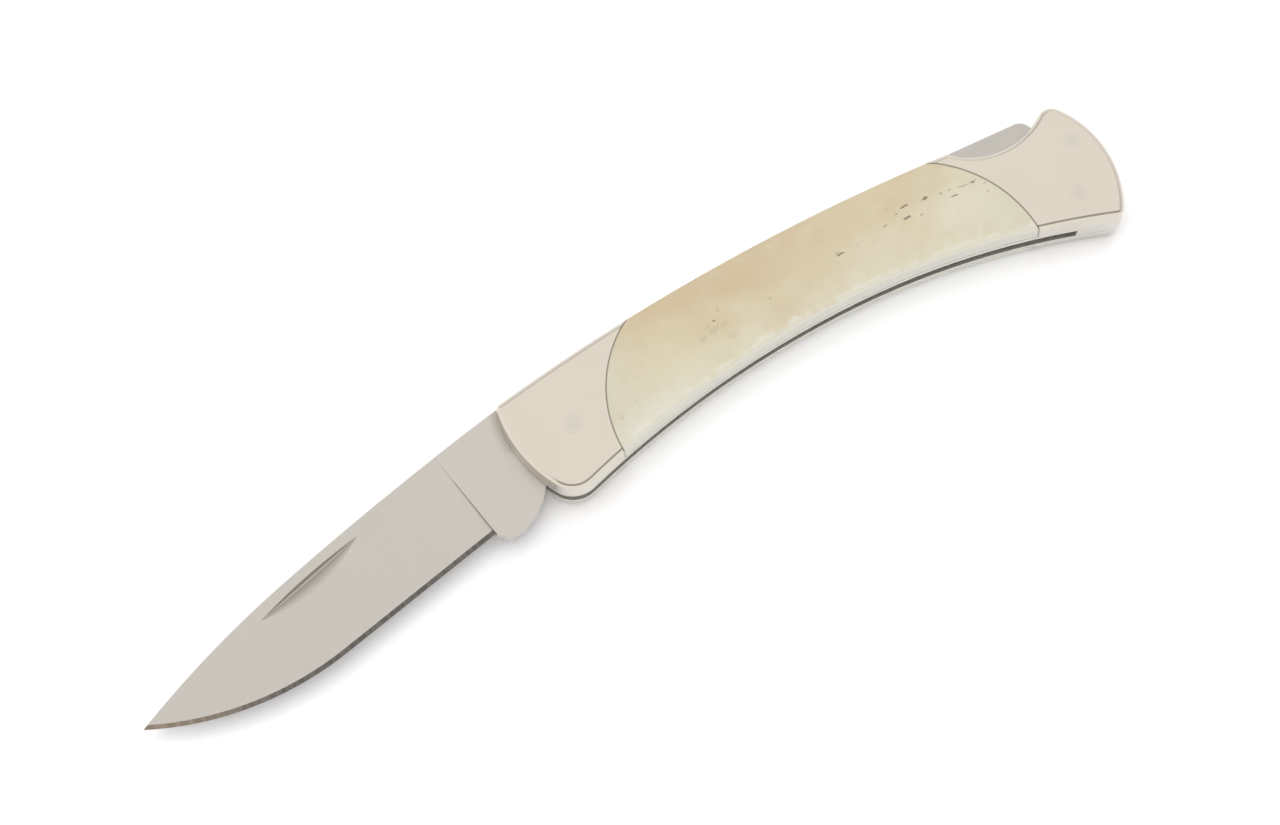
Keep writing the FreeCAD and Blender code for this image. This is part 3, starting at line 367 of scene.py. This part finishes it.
print("the spacer's joint lies", round(SPACER_HALF / MM, 2), "mm from the middle")

# %% [markdown]
# ## Polished nickel silver
#
# Bolsters of this kind are nickel silver, buffed to a warm white mirror and then carried in a pocket. The
# metal itself is one colour. What tells the eye that it is metal is the slight haze of hairline scratches
# and the soft smears that fingers leave, so the roughness is what varies here, and the colour only by a
# trace. On a buffed face, two sets of lines cross. On the edges of the liners, which are ground on a belt,
# both sets run along the handle.

# %% Mix the nickel silver
PIN_METAL = (0.578, 0.545, 0.488)
SMEAR_TINT = 0.95
HAZE = (0.2, 0.5)
BUFFED = ((1.0, 22.0, 1.0), (26.0, 1.0, 1.0))
BELTED = ((1.0, 1.0, 24.0), (1.0, 1.0, 40.0))


def nickel_silver(name, colour, strokes, gloss, scratch, seam=None, joint=None, pin=None, metal=1.0):
    """Nickel silver with its strokes, its range of roughness, and any seam, joint or pin drawn on it."""
    material, tree, shader, spot = start_finish(name)
    smears = noise(tree, spot, waves=140.0, detail=4.0)
    hairlines = noise(tree, spot, waves=260.0, detail=2.0, squeeze=strokes[0], turn=0.35)
    crossing = noise(tree, spot, waves=220.0, detail=2.0, squeeze=strokes[1], turn=0.2)
    lines = sum_up(tree, "MAXIMUM", hairlines, crossing)
    haze = product(tree, smears, lines)
    tree.links.new(spread(tree, haze, *HAZE, *gloss), shader.inputs["Roughness"])
    tinted = blend(tree, smears, colour, tuple(SMEAR_TINT * value for value in colour))
    if seam:
        tinted = blend(tree, seam_mask(tree, spot, seam), tinted, SEAM_DIRT)
    if joint:
        tinted = blend(tree, joint_mask(tree, spot, joint), tinted, SEAM_DIRT)
    if pin:
        tinted = blend(tree, pin_mask(tree, spot, *pin), tinted, PIN_METAL)
    tree.links.new(tinted, shader.inputs["Base Color"])
    shader.inputs["Metallic"].default_value = metal
    dent(tree, shader, lines, scratch)
    return material


print("nickel silver is ready, buffed or belted")

# %% Buff the bolsters
BOLSTER_METAL = (0.635, 0.588, 0.516)
BOLSTER_GLOSS = (0.10, 0.22)
HAIRLINE = 0.0015 * MM
for end, seam in (("front", FRONT_SEAM), ("rear", REAR_SEAM)):
    finish_name = f"{end}_bolster_nickel_silver"
    bolster_finish = nickel_silver(
        finish_name, BOLSTER_METAL, BUFFED, BOLSTER_GLOSS, HAIRLINE, seam=seam
    )
    dress(bolster_finish, f"{end}_bolster_left", f"{end}_bolster_right")

# %% Grind the liners and the spacer
LINER_METAL = (0.64, 0.615, 0.565)
LINER_GLOSS = (0.26, 0.29)
LINER_LINE = 0.0001 * MM
LINER_SHARE_OF_METAL = 0.82
SPACER_GLOSS = (0.22, 0.29)
SPACER_LINE = 0.0005 * MM
liner_finish = nickel_silver(
    "liner_nickel_silver", LINER_METAL, BELTED, LINER_GLOSS, LINER_LINE, metal=LINER_SHARE_OF_METAL
)
dress(liner_finish, "liner_left", "liner_right")
spacer_finish = nickel_silver(
    "spacer_nickel_silver", LINER_METAL, BELTED, SPACER_GLOSS, SPACER_LINE, joint=SPACER_HALF
)
dress(spacer_finish, "rear_spacer")

# %% [markdown]
# ## The pins
#
# The pivot and the two rear rivets are spun over and ground flush with the bolsters. Each has a finish of
# its own, because its spot is drawn around its own axis. The axis and the radius could be typed in, but
# the box of each CAD pin already gives them.

# %% Spin the pins over
for pin_name in ("blade_pivot_pin", "upper_rivet", "lower_rivet"):
    low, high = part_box(pin_name)
    pin_axis = ((low[0] + high[0]) / 2.0 / MM, (low[1] + high[1]) / 2.0 / MM)
    pin_radius = (high[0] - low[0]) / 2.0 / MM
    pin = (pin_axis, pin_radius)
    pin_finish = nickel_silver(
        f"{pin_name}_metal", BOLSTER_METAL, BUFFED, BOLSTER_GLOSS, HAIRLINE, pin=pin
    )
    dress(pin_finish, pin_name)

# %% [markdown]
# ## Flecks in the bone
#
# Small dark flecks lie in rows in polished shin bone: they are the channels of blood vessels, cut open
# when the slab was planed. Noise with a threshold would strew such flecks anywhere. Here each fleck is an
# ellipse of its own, because their rows make this scale recognisable. Noise only frays their outlines.

# %% Place the flecks
# Each fleck: place along and across the handle, half length and half width in millimetres, turn in
# degrees, and strength
LEFT_FLECKS = [
    (40.3, 3.80, 0.45, 0.10, -6, 0.55), (40.6, 3.45, 0.75, 0.13, -4, 0.85),
    (47.5, 4.04, 0.50, 0.14, 8, 0.40), (50.5, 3.68, 0.70, 0.14, -5, 0.85),
    (52.35, 3.25, 0.35, 0.10, 0, 0.70), (49.5, 4.77, 0.25, 0.11, 4, 0.50),
    (50.8, 5.22, 0.65, 0.14, -2, 0.85), (53.75, 4.86, 0.55, 0.20, 2, 0.80),
    (55.9, 4.47, 0.20, 0.10, 0, 0.60), (57.1, 4.36, 0.35, 0.08, -8, 0.55),
    (57.3, 3.37, 0.65, 0.13, -7, 0.85), (59.0, 4.06, 0.95, 0.08, -9, 0.70),
    (60.3, 3.92, 0.50, 0.13, -7, 0.90), (61.55, 3.04, 0.25, 0.13, 0, 0.60),
    (61.4, 1.92, 0.28, 0.09, 12, 0.50), (47.95, 8.2, 0.20, 0.09, 0, 0.25),
    (48.6, 5.97, 0.40, 0.10, -5, 0.30), (43.4, 3.6, 0.90, 0.07, 12, 0.22),
    (46.0, 4.05, 0.70, 0.08, 8, 0.22), (56.5, 0.9, 0.30, 0.10, 0, 0.22),
    (22.15, 3.38, 0.38, 0.12, 2, 0.85), (29.85, 2.5, 0.17, 0.08, 0, 0.60),
    (31.5, 0.22, 0.15, 0.08, 0, 0.50), (32.0, -1.1, 0.12, 0.08, 0, 0.50),
    (21.6, 2.3, 1.10, 0.60, 20, 0.13), (19.75, 1.9, 0.80, 0.55, 30, 0.16),
    (23.4, 0.5, 1.00, 0.45, -20, 0.11), (23.1, 2.4, 0.80, 0.40, 10, 0.12),
    (27.6, -0.35, 0.65, 0.50, 40, 0.07), (5.85, -2.3, 0.45, 0.14, 30, 0.28),
    (8.6, -1.2, 0.30, 0.14, 0, 0.22), (23.2, 4.5, 0.35, 0.45, 0, 0.14),
    (21.0, 3.05, 0.70, 0.35, 15, 0.13),
]
RIGHT_FLECKS = [
    (14.2, 4.10, 0.50, 0.11, 10, 0.60), (16.0, 3.70, 0.70, 0.12, 6, 0.75),
    (18.4, 4.40, 0.30, 0.10, 4, 0.55), (20.3, 3.90, 0.60, 0.13, 2, 0.80),
    (26.5, 1.60, 0.20, 0.09, 0, 0.50), (38.6, 5.60, 0.45, 0.11, -4, 0.60),
    (41.2, 5.30, 0.25, 0.09, -5, 0.45), (45.8, 0.40, 0.90, 0.40, -15, 0.22),
    (52.8, 2.20, 0.55, 0.12, -8, 0.70),
]
print(len(LEFT_FLECKS), "flecks on the left scale,", len(RIGHT_FLECKS), "on the right")

# %% Draw flecks and patches as frayed ellipses
FRAY = {"Scale": 3600.0, "Detail": 2.0}
FRAY_REACH = 0.6 * MM
FLECK_END = 1.10


def fleck_mask(tree, spot, flecks, core):
    """One ellipse for each fleck, all in one mask. Past its core, a fleck fades out."""
    ragged = add_node(tree, "TexNoise", {"Vector": spot, **FRAY}).outputs["Color"]
    centred = add_node(tree, "VectorMath", {0: ragged, 1: (0.5, 0.5, 0.5)}, operation="SUBTRACT")
    shift = add_node(tree, "VectorMath", {0: centred.outputs[0], "Scale": FRAY_REACH}, operation="SCALE")
    frayed = add_node(tree, "VectorMath", {0: spot, 1: shift.outputs[0]}, operation="ADD").outputs[0]
    mask = None
    for along, across, half_length, half_width, turn, strength in flecks:
        inputs = {
            "Vector": frayed,
            "Location": (along * MM, across * MM, 0.0),
            "Rotation": (0.0, 0.0, math.radians(turn)),
            "Scale": (half_length * MM, half_width * MM, 1.0),
        }
        local = add_node(tree, "Mapping", inputs, vector_type="TEXTURE").outputs["Vector"]
        reach = add_node(tree, "VectorMath", {0: local}, operation="LENGTH").outputs["Value"]
        one = spread(tree, reach, core, FLECK_END, strength, 0.0)
        mask = one if mask is None else sum_up(tree, "MAXIMUM", mask, one)
    return mask


print("flecks are frayed by up to", FRAY_REACH / MM / 2.0, "mm")

# %% [markdown]
# ## The colours of the bone
#
# Polished shin bone is cream, more tan near the outside of the bone, and greenish beside the seams. The
# depth below the handle's back gives the change from tan to pale, the way along the handle gives the ends,
# and two sizes of noise give the mottling. Painting by hand on a texture could do all this too, but a
# formula stays sharp at any distance.

# %% Colour the body of the bone
CREAM = (0.56, 0.495, 0.345)
TAN = (0.49, 0.385, 0.235)
PALE = (0.585, 0.553, 0.43)
GREENISH = (0.55, 0.54, 0.445)
# The arc of the handle's back, as for the seams
SPINE = ((35.3, -276.0), 286.0)
# Each range: where it starts and ends, and the share of colour at its start and its end
TAN_DEPTH = (0.5 * MM, 7.5 * MM, 1.0, 0.0)
TAN_FRONT = (14.0 * MM, 58.0 * MM, 1.0, 0.15)
TAN_GAIN = 1.5
PALE_DEPTH = (7.0 * MM, 12.0 * MM, 0.0, 0.9)
GREEN_FRONT = (4.0 * MM, 16.0 * MM, 1.5, 0.0)
GREEN_REAR = (52.0 * MM, 66.0 * MM, 0.0, 1.3)
MOTTLES = (0.38, 0.66, 0.0, 0.28)
TAN_SPECKS = (0.50, 0.68, 0.0, 0.22)
PALE_SPECKS = (0.34, 0.48, 0.20, 0.0)


def bone_body(tree, spot, along):
    """Tan along the back, pale along the lower edge, greenish beside both seams, and mottled."""
    depth = sum_up(tree, "SUBTRACT", 0.0, from_arc(tree, spot, SPINE))
    clouds = noise(tree, spot, waves=95.0, detail=4.0)
    drift = noise(tree, spot, waves=38.0, detail=2.0, squeeze=(1.0, 1.6, 1.0))
    tan_depth = spread(tree, depth, *TAN_DEPTH)
    tan_front = spread(tree, along, *TAN_FRONT)
    colour = blend(tree, product(tree, tan_depth, tan_front, drift, TAN_GAIN), CREAM, TAN)
    colour = blend(tree, spread(tree, depth, *PALE_DEPTH), colour, PALE)
    front_share = spread(tree, along, *GREEN_FRONT)
    rear_share = spread(tree, along, *GREEN_REAR)
    ends = product(tree, sum_up(tree, "MAXIMUM", front_share, rear_share), clouds)
    colour = blend(tree, ends, colour, GREENISH)
    colour = blend(tree, spread(tree, clouds, *MOTTLES), colour, TAN)
    specks = noise(tree, spot, waves=420.0, detail=5.0)
    colour = blend(tree, spread(tree, specks, *TAN_SPECKS), colour, TAN)
    return blend(tree, spread(tree, specks, *PALE_SPECKS), colour, PALE)


print("the bone turns from tan to pale within", PALE_DEPTH[1] / MM, "mm below the back")

# %% [markdown]
# Along its lower edge the scale gets painted light: a ragged almost white rim as a painted highlight on its
# rounded edge, and the lower wall, which faces the front, painted white. The lower edge of the handle is
# two arcs that meet at its crest, so the distance from them gives the rim, and noise makes it ragged. A few
# large soft patches, tan or almost white, are placed like the flecks.

# %% Paint light on the lower edge and add the patches
# Almost white bone for the white patches, and the colour of the painted light on the lower edge
WHITE_BONE_AND_EDGE_LIGHT = (0.63, 0.61, 0.53)
TAN_PATCHES = [
    (20.4, 7.3, 5.0, 2.0, 0, 0.50), (26.9, 6.4, 7.0, 3.0, -3, 0.70),
    (30.3, 4.6, 4.5, 2.5, 0, 0.50), (30.6, 0.0, 5.5, 3.5, 8, 0.45),
]
WHITE_PATCHES = [
    (45.4, 1.5, 7.0, 4.0, 5, 0.28), (57.0, 1.8, 8.0, 4.5, -10, 0.42),
    (9.0, -5.0, 8.5, 4.0, 20, 0.60),
]
SOFT_CORE = 0.0
BELLY_CREST = 37.5 * MM
FRONT_BELLY = ((37.5, -139.38), 137.0)
REAR_BELLY = ((37.5, -110.38), 108.0)
RIM_RAGGEDNESS = 4.0 * MM
# The painted highlight along the rounded lower edge, and the painted light on the wall that faces the front
RIM_HIGHLIGHT = (-1.3 * MM, -0.6 * MM, 0.55, 0.0)
LIT_LOWER_WALL = (-0.8, -0.2, 0.8, 0.0)


def facing(tree):
    """The way that the surface faces, as three numbers."""
    return axes(tree, add_node(tree, "NewGeometry", {}).outputs["Normal"])


def above_belly(tree, spot, along):
    """How far a spot lies above the handle's lower edge, which is two arcs that meet at its crest."""
    behind = sum_up(tree, "GREATER_THAN", along, BELLY_CREST)
    front = from_arc(tree, spot, FRONT_BELLY)
    rear = from_arc(tree, spot, REAR_BELLY)
    # The same Mix node takes plain numbers at 2 and 3
    return add_node(tree, "Mix", {0: behind, 2: front, 3: rear}).outputs[0]


def bone_patches(tree, spot, along, colour):
    """Soft patches, then the painted highlight of the ragged rim and painted light on the lower wall."""
    colour = blend(tree, fleck_mask(tree, spot, TAN_PATCHES, SOFT_CORE), colour, TAN)
    colour = blend(tree, fleck_mask(tree, spot, WHITE_PATCHES, SOFT_CORE), colour, WHITE_BONE_AND_EDGE_LIGHT)
    ragged = product(tree, noise(tree, spot, waves=520.0, detail=5.0), RIM_RAGGEDNESS)
    highlight_height = sum_up(tree, "SUBTRACT", above_belly(tree, spot, along), ragged)
    # Painted highlight along the rounded lower edge
    colour = blend(tree, spread(tree, highlight_height, *RIM_HIGHLIGHT), colour, WHITE_BONE_AND_EDGE_LIGHT)
    # Painted light on the lower wall, which faces the front
    return blend(tree, spread(tree, facing(tree)["Y"], *LIT_LOWER_WALL), colour, WHITE_BONE_AND_EDGE_LIGHT)


print(len(TAN_PATCHES), "tan patches and", len(WHITE_PATCHES), "white ones")

# %% [markdown]
# The last layer on the bone is dirt: a line along each liner, the open flecks and the seams. Light goes a
# little way into bone, so the shader gets some subsurface scattering. The flecks are also dents, so that
# they look cut open and not painted on.

# %% Finish the bone scales
FLECK_BROWN = (0.13, 0.10, 0.06)
SHARP_CORE = 0.40
LINER_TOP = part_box("liner_left")[1][2] - MIDDLE_HEIGHT
LINER_DIRT = (LINER_TOP, LINER_TOP + 0.4 * MM, 0.6, 0.0)
BONE_GLOSS = (0.3, 0.7, 0.28, 0.31)
BONE_SCATTER = 0.15
BONE_SCATTER_REACH = (1.2 * MM, 0.9 * MM, 0.5 * MM)
BONE_SCATTER_SCALE = 0.6
GRAIN_HEIGHT = 0.02
PORE_DEPTH = 0.04 * MM


def bone(name, flecks):
    """Old polished bone with its own flecks."""
    material, tree, shader, spot = start_finish(name)
    along = axes(tree, spot)["X"]
    colour = bone_patches(tree, spot, along, bone_body(tree, spot, along))
    colour = blend(tree, spread(tree, from_middle(tree, spot), *LINER_DIRT), colour, SEAM_DIRT)
    open_flecks = fleck_mask(tree, spot, flecks, SHARP_CORE)
    colour = blend(tree, open_flecks, colour, FLECK_BROWN)
    for seam in (FRONT_SEAM, REAR_SEAM):
        colour = blend(tree, seam_mask(tree, spot, seam), colour, SEAM_DIRT)
    tree.links.new(colour, shader.inputs["Base Color"])
    grain = noise(tree, spot, waves=900.0, detail=3.0, squeeze=(0.5, 1.0, 1.0))
    tree.links.new(spread(tree, grain, *BONE_GLOSS), shader.inputs["Roughness"])
    shader.inputs["Subsurface Weight"].default_value = BONE_SCATTER
    shader.inputs["Subsurface Radius"].default_value = BONE_SCATTER_REACH
    shader.inputs["Subsurface Scale"].default_value = BONE_SCATTER_SCALE
    pores = sum_up(tree, "SUBTRACT", product(tree, grain, GRAIN_HEIGHT), open_flecks)
    dent(tree, shader, pores, PORE_DEPTH)
    return material


dress(bone("old_bone_left", LEFT_FLECKS), "bone_scale_left")
dress(bone("old_bone_right", RIGHT_FLECKS), "bone_scale_right")

# %% [markdown]
# ## The nail nick
#
# The nick is a hollow in the left side of the blade that a fingernail pulls on. Its steep wall and its
# sloping floor carry painted shade, which fades by and by on the way down the floor and leaves the crease
# itself lighter. The hollow itself is in the CAD blade. The shade could be a separate material on its
# faces, but it has to fade, so it is a mask in the nick's own directions, along and across.

# %% Darken the nick
NICK_MIDDLE = (-38.66 * MM, -1.24 * MM, 0.0)
NICK_TURN = math.radians(14.2)
NICK_HALF_LENGTH = 8.2 * MM
NICK_WALL = 0.42 * MM
NICK_FLOOR = 2.0 * MM
FLOOR_FADE = (-0.3 * NICK_FLOOR, 1.1 * NICK_FLOOR, 1.15, 0.0)
WALL_START = (-1.1 * NICK_WALL, -0.9 * NICK_WALL, 0.0, 0.68)
UNSHADED_CREASE = (0.04 * MM, 0.16 * MM, 0.15, 1.0)
NICK_ENDS = (0.0, 0.08, 0.0, 1.0)


def nick_shade_mask(tree, spot):
    """The nick's painted shade. Both edges are arcs, so its width falls with the square of the way along.
    """
    off = add_node(tree, "VectorMath", {0: spot, 1: NICK_MIDDLE}, operation="SUBTRACT").outputs[0]
    ahead = (math.cos(NICK_TURN) / NICK_HALF_LENGTH, math.sin(NICK_TURN) / NICK_HALF_LENGTH, 0.0)
    down = (math.sin(NICK_TURN), -math.cos(NICK_TURN), 0.0)
    along = add_node(tree, "VectorMath", {0: off, 1: ahead}, operation="DOT_PRODUCT").outputs["Value"]
    across = add_node(tree, "VectorMath", {0: off, 1: down}, operation="DOT_PRODUCT").outputs["Value"]
    fullness = sum_up(tree, "SUBTRACT", 1.0, product(tree, along, along))
    level = sum_up(tree, "DIVIDE", across, fullness)
    floor = spread(tree, level, *FLOOR_FADE)
    wall = spread(tree, level, *WALL_START)
    unshaded = spread(tree, without_sign(tree, level), *UNSHADED_CREASE)
    ends = spread(tree, fullness, *NICK_ENDS)
    left_side = sum_up(tree, "GREATER_THAN", axes(tree, spot)["Z"], MIDDLE_HEIGHT)
    return product(tree, floor, wall, unshaded, ends, left_side)


print("the nick is", 2.0 * NICK_HALF_LENGTH / MM, "mm long")

# %% [markdown]
# ## Painted shade and a painted highlight on the blade
#
# In front of the bolster's nose, painted shade from the bolster darkens the steel in two soft patches, one
# above and one below a gap near the pivot. And a painted highlight fades out the step behind the grind
# towards the back of the blade. Both follow shapes that are already there: the nose is an arc, and the step
# faces the tip.

# %% Paint shade at the nose and a highlight on the step
NOSE = ((9.77, 3.08), 18.06)
NOSE_SHADE_BAND = (0.2 * MM, 1.3 * MM, 0.7, 0.0)
NOSE_SHADE_GAP = -0.3 * MM
NOSE_SHADE_OFF_GAP = (0.4 * MM, 2.2 * MM, 0.0, 1.0)
NOSE_SHADE_LOWER = (-2.5 * MM, 1.0 * MM, 0.25, 1.0)
STEP_REACH = (-20.0 * MM, -12.0 * MM)
STEP_FACES_TIP = (-0.6, -0.4, 1.0, 0.0)
STEP_NEAR_BACK = (0.4 * MM, 2.4 * MM, 0.0, 1.0)


def nose_shade_mask(tree, spot, across):
    """The two patches of painted shade from the bolster's nose, the lower one weaker."""
    band = spread(tree, from_arc(tree, spot, NOSE), *NOSE_SHADE_BAND)
    off_gap = without_sign(tree, sum_up(tree, "SUBTRACT", across, NOSE_SHADE_GAP))
    patches = spread(tree, off_gap, *NOSE_SHADE_OFF_GAP)
    lower = spread(tree, across, *NOSE_SHADE_LOWER)
    return product(tree, band, patches, lower)


def step_highlight_mask(tree, along, across, way):
    """The painted highlight on the upper stretch of the step behind the grind."""
    behind = sum_up(tree, "GREATER_THAN", along, STEP_REACH[0])
    ahead = sum_up(tree, "LESS_THAN", along, STEP_REACH[1])
    faces_tip = spread(tree, way["X"], *STEP_FACES_TIP)
    near_back = spread(tree, across, *STEP_NEAR_BACK)
    return product(tree, behind, ahead, faces_tip, near_back)


# The band is painted shade from the bolster's nose.
print("the rubbed band fades out", NOSE_SHADE_BAND[1] / MM, "mm from the nose")

# %% [markdown]
# ## The satin blade
#
# The flats are ground on a belt, with fine lines from back to edge, and a coarser stone has cut a narrow
# bevel along the edge. Two sets of squeezed noise make the lines. The bevel needs no painted strip: its
# faces lean more than the flats do, so the lean of the surface itself tells the shader where the stone has
# been. Towards the tip, a painted reflection makes the bevel warmer and brighter.

# %% Cut the bevel
BEVEL_STEEL = (0.215, 0.20, 0.185)
STONE_LINES = (0.31, 0.29, 0.265)
# A painted warm reflection on the bevel near the tip
TIP_BEVEL_REFLECTION = (0.44, 0.36, 0.29)
TIP_STONE_LINES_REFLECTION = (0.54, 0.465, 0.39)
OFF_FLAT = (0.965, 0.985, 1.0, 0.0)
OFF_EDGE = (0.85, 0.93, 0.0, 1.0)
TIP_REFLECTION_REACH = (-62.0 * MM, -46.0 * MM, 1.0, 0.0)
STONE_CONTRAST = (0.36, 0.64, 0.0, 1.0)


def bevel_mask(tree, way):
    """The faces that lean more than the flats and less than the edges of the blank."""
    lean = without_sign(tree, way["Z"])
    return product(tree, spread(tree, lean, *OFF_FLAT), spread(tree, lean, *OFF_EDGE))


def stone_colour(tree, along, coarse):
    """Dark steel with lighter lines from the stone, both made warmer and brighter near the tip by a painted
    reflection.
    """
    tip_reflection = spread(tree, along, *TIP_REFLECTION_REACH)
    dark_stone = blend(tree, tip_reflection, BEVEL_STEEL, TIP_BEVEL_REFLECTION)
    light_stone = blend(tree, tip_reflection, STONE_LINES, TIP_STONE_LINES_REFLECTION)
    return blend(tree, spread(tree, coarse, *STONE_CONTRAST), dark_stone, light_stone)


least, most = (round(math.degrees(math.acos(lean))) for lean in (OFF_FLAT[1], OFF_EDGE[0]))
print("the bevel is where faces lean by", least, "to", most, "degrees")

# %% Grind the blade
EDGE_TURN = math.radians(11.3)
FLAT_STEEL = (0.556, 0.523, 0.490)
SMEARED_STEEL = (0.532, 0.513, 0.476)
BELT_LINES = (0.48, 0.458, 0.428)
BELT_CONTRAST = (0.40, 0.65, 0.0, 0.09)
# Painted shade from the bolster's nose, on the steel in front of it
NOSE_SHADE_STEEL = (0.40, 0.37, 0.33)
# The colour of the painted shade in the nail nick
NICK_SHADE_STEEL = (0.13, 0.12, 0.10)
# A painted highlight on the step behind the grind
STEP_HIGHLIGHT = (0.82, 0.79, 0.75)
BLADE_GLOSS = (0.3, 0.7, 0.28, 0.32)
BELT_LINE_DEPTH = 0.0003 * MM


def ground_steel(name, turn):
    """Satin flats with painted shade at the nose and in the nick, a painted highlight on the step, and the
    stone's bevel along the edge.
    """
    material, tree, shader, spot = start_finish(name)
    lines = noise(tree, spot, waves=90.0, detail=3.0, squeeze=(90.0, 1.0, 1.0), turn=-turn)
    coarse = noise(tree, spot, waves=45.0, detail=2.0, squeeze=(40.0, 1.0, 1.0), turn=-turn)
    smears = noise(tree, spot, waves=70.0, detail=3.0)
    way = facing(tree)
    place = axes(tree, spot)
    flats = blend(tree, smears, FLAT_STEEL, SMEARED_STEEL)
    flats = blend(tree, spread(tree, coarse, *BELT_CONTRAST), flats, BELT_LINES)
    # Painted shade at the bolster's nose
    flats = blend(tree, nose_shade_mask(tree, spot, place["Y"]), flats, NOSE_SHADE_STEEL)
    # Painted shade in the nail nick
    flats = blend(tree, nick_shade_mask(tree, spot), flats, NICK_SHADE_STEEL)
    # A painted highlight on the step
    flats = blend(tree, step_highlight_mask(tree, place["X"], place["Y"], way), flats, STEP_HIGHLIGHT)
    stone = stone_colour(tree, place["X"], coarse)
    tree.links.new(blend(tree, bevel_mask(tree, way), flats, stone), shader.inputs["Base Color"])
    tree.links.new(spread(tree, lines, *BLADE_GLOSS), shader.inputs["Roughness"])
    shader.inputs["Metallic"].default_value = 1.0
    dent(tree, shader, lines, BELT_LINE_DEPTH)
    return material


dress(ground_steel("satin_blade_steel", EDGE_TURN), "blade")

# %% [markdown]
# ## The lock bar and the steel inside
#
# The lock bar is seen in the thumb notch: hardened spring steel, ground along its length and not polished,
# so it looks greyer than the bolsters beside it. The leaf spring and the rocker's pin have the same finish.
# One finish for the three is enough, because only the bar shows when the knife is whole.

# %% Finish the steel inside
BAR_STEEL = (0.53, 0.51, 0.475)
BAR_TINT = 0.88
BAR_GLOSS = (0.3, 0.7, 0.28, 0.42)
BAR_LINE_DEPTH = 0.002 * MM


def bar_steel(name, colour):
    """Spring steel with lines along the bar."""
    material, tree, shader, spot = start_finish(name)
    lines = noise(tree, spot, waves=60.0, detail=3.0, squeeze=(1.0, 60.0, 8.0))
    smears = noise(tree, spot, waves=90.0, detail=3.0)
    darker = tuple(BAR_TINT * value for value in colour)
    tree.links.new(blend(tree, smears, colour, darker), shader.inputs["Base Color"])
    tree.links.new(spread(tree, lines, *BAR_GLOSS), shader.inputs["Roughness"])
    shader.inputs["Metallic"].default_value = 1.0
    dent(tree, shader, lines, BAR_LINE_DEPTH)
    return material


dress(bar_steel("lock_bar_steel", BAR_STEEL), "lock_bar", "lock_spring", "lock_bar_pin")

# %% [markdown]
# ## The bushes
#
# Two plain bronze bushes sit in the tang and in the lock bar. Oil has browned them in patches, so one noise
# drives both the colour and the roughness: where the bronze is darker, it is duller too.

# %% Brown the bushes
BRONZE = (0.56, 0.36, 0.18)
OILED_BRONZE = (0.40, 0.25, 0.12)
BRONZE_GLOSS = (0.3, 0.7, 0.30, 0.45)


def oiled_bronze(name):
    """Bronze with darker, duller patches."""
    material, tree, shader, spot = start_finish(name)
    patches = noise(tree, spot, waves=900.0, detail=3.0)
    tree.links.new(blend(tree, patches, BRONZE, OILED_BRONZE), shader.inputs["Base Color"])
    tree.links.new(spread(tree, patches, *BRONZE_GLOSS), shader.inputs["Roughness"])
    shader.inputs["Metallic"].default_value = 1.0
    return material


dress(oiled_bronze("oiled_bronze"), "blade_bush", "lock_bar_bush")

# %% [markdown]
# ## The white sheet's own finish
#
# Paper white, with no gloss, so that the knife is the only thing in the picture with highlights. A trace of
# noise stands for the fibres.

# %% Whiten the sheet
PAPER_WHITE = (0.935, 0.935, 0.935)
FIBRE_WHITE = (0.945, 0.945, 0.945)
paper, paper_tree, paper_shader, paper_spot = start_finish("white_paper")
fibres = noise(paper_tree, paper_spot, waves=300.0, detail=2.0)
paper_colour = blend(paper_tree, fibres, PAPER_WHITE, FIBRE_WHITE)
paper_tree.links.new(paper_colour, paper_shader.inputs["Base Color"])
paper_shader.inputs["Roughness"].default_value = 1.0
paper_shader.inputs["Specular IOR Level"].default_value = 0.0
sheet.data.materials.append(paper)
print(paper.name, "on", sheet.name)
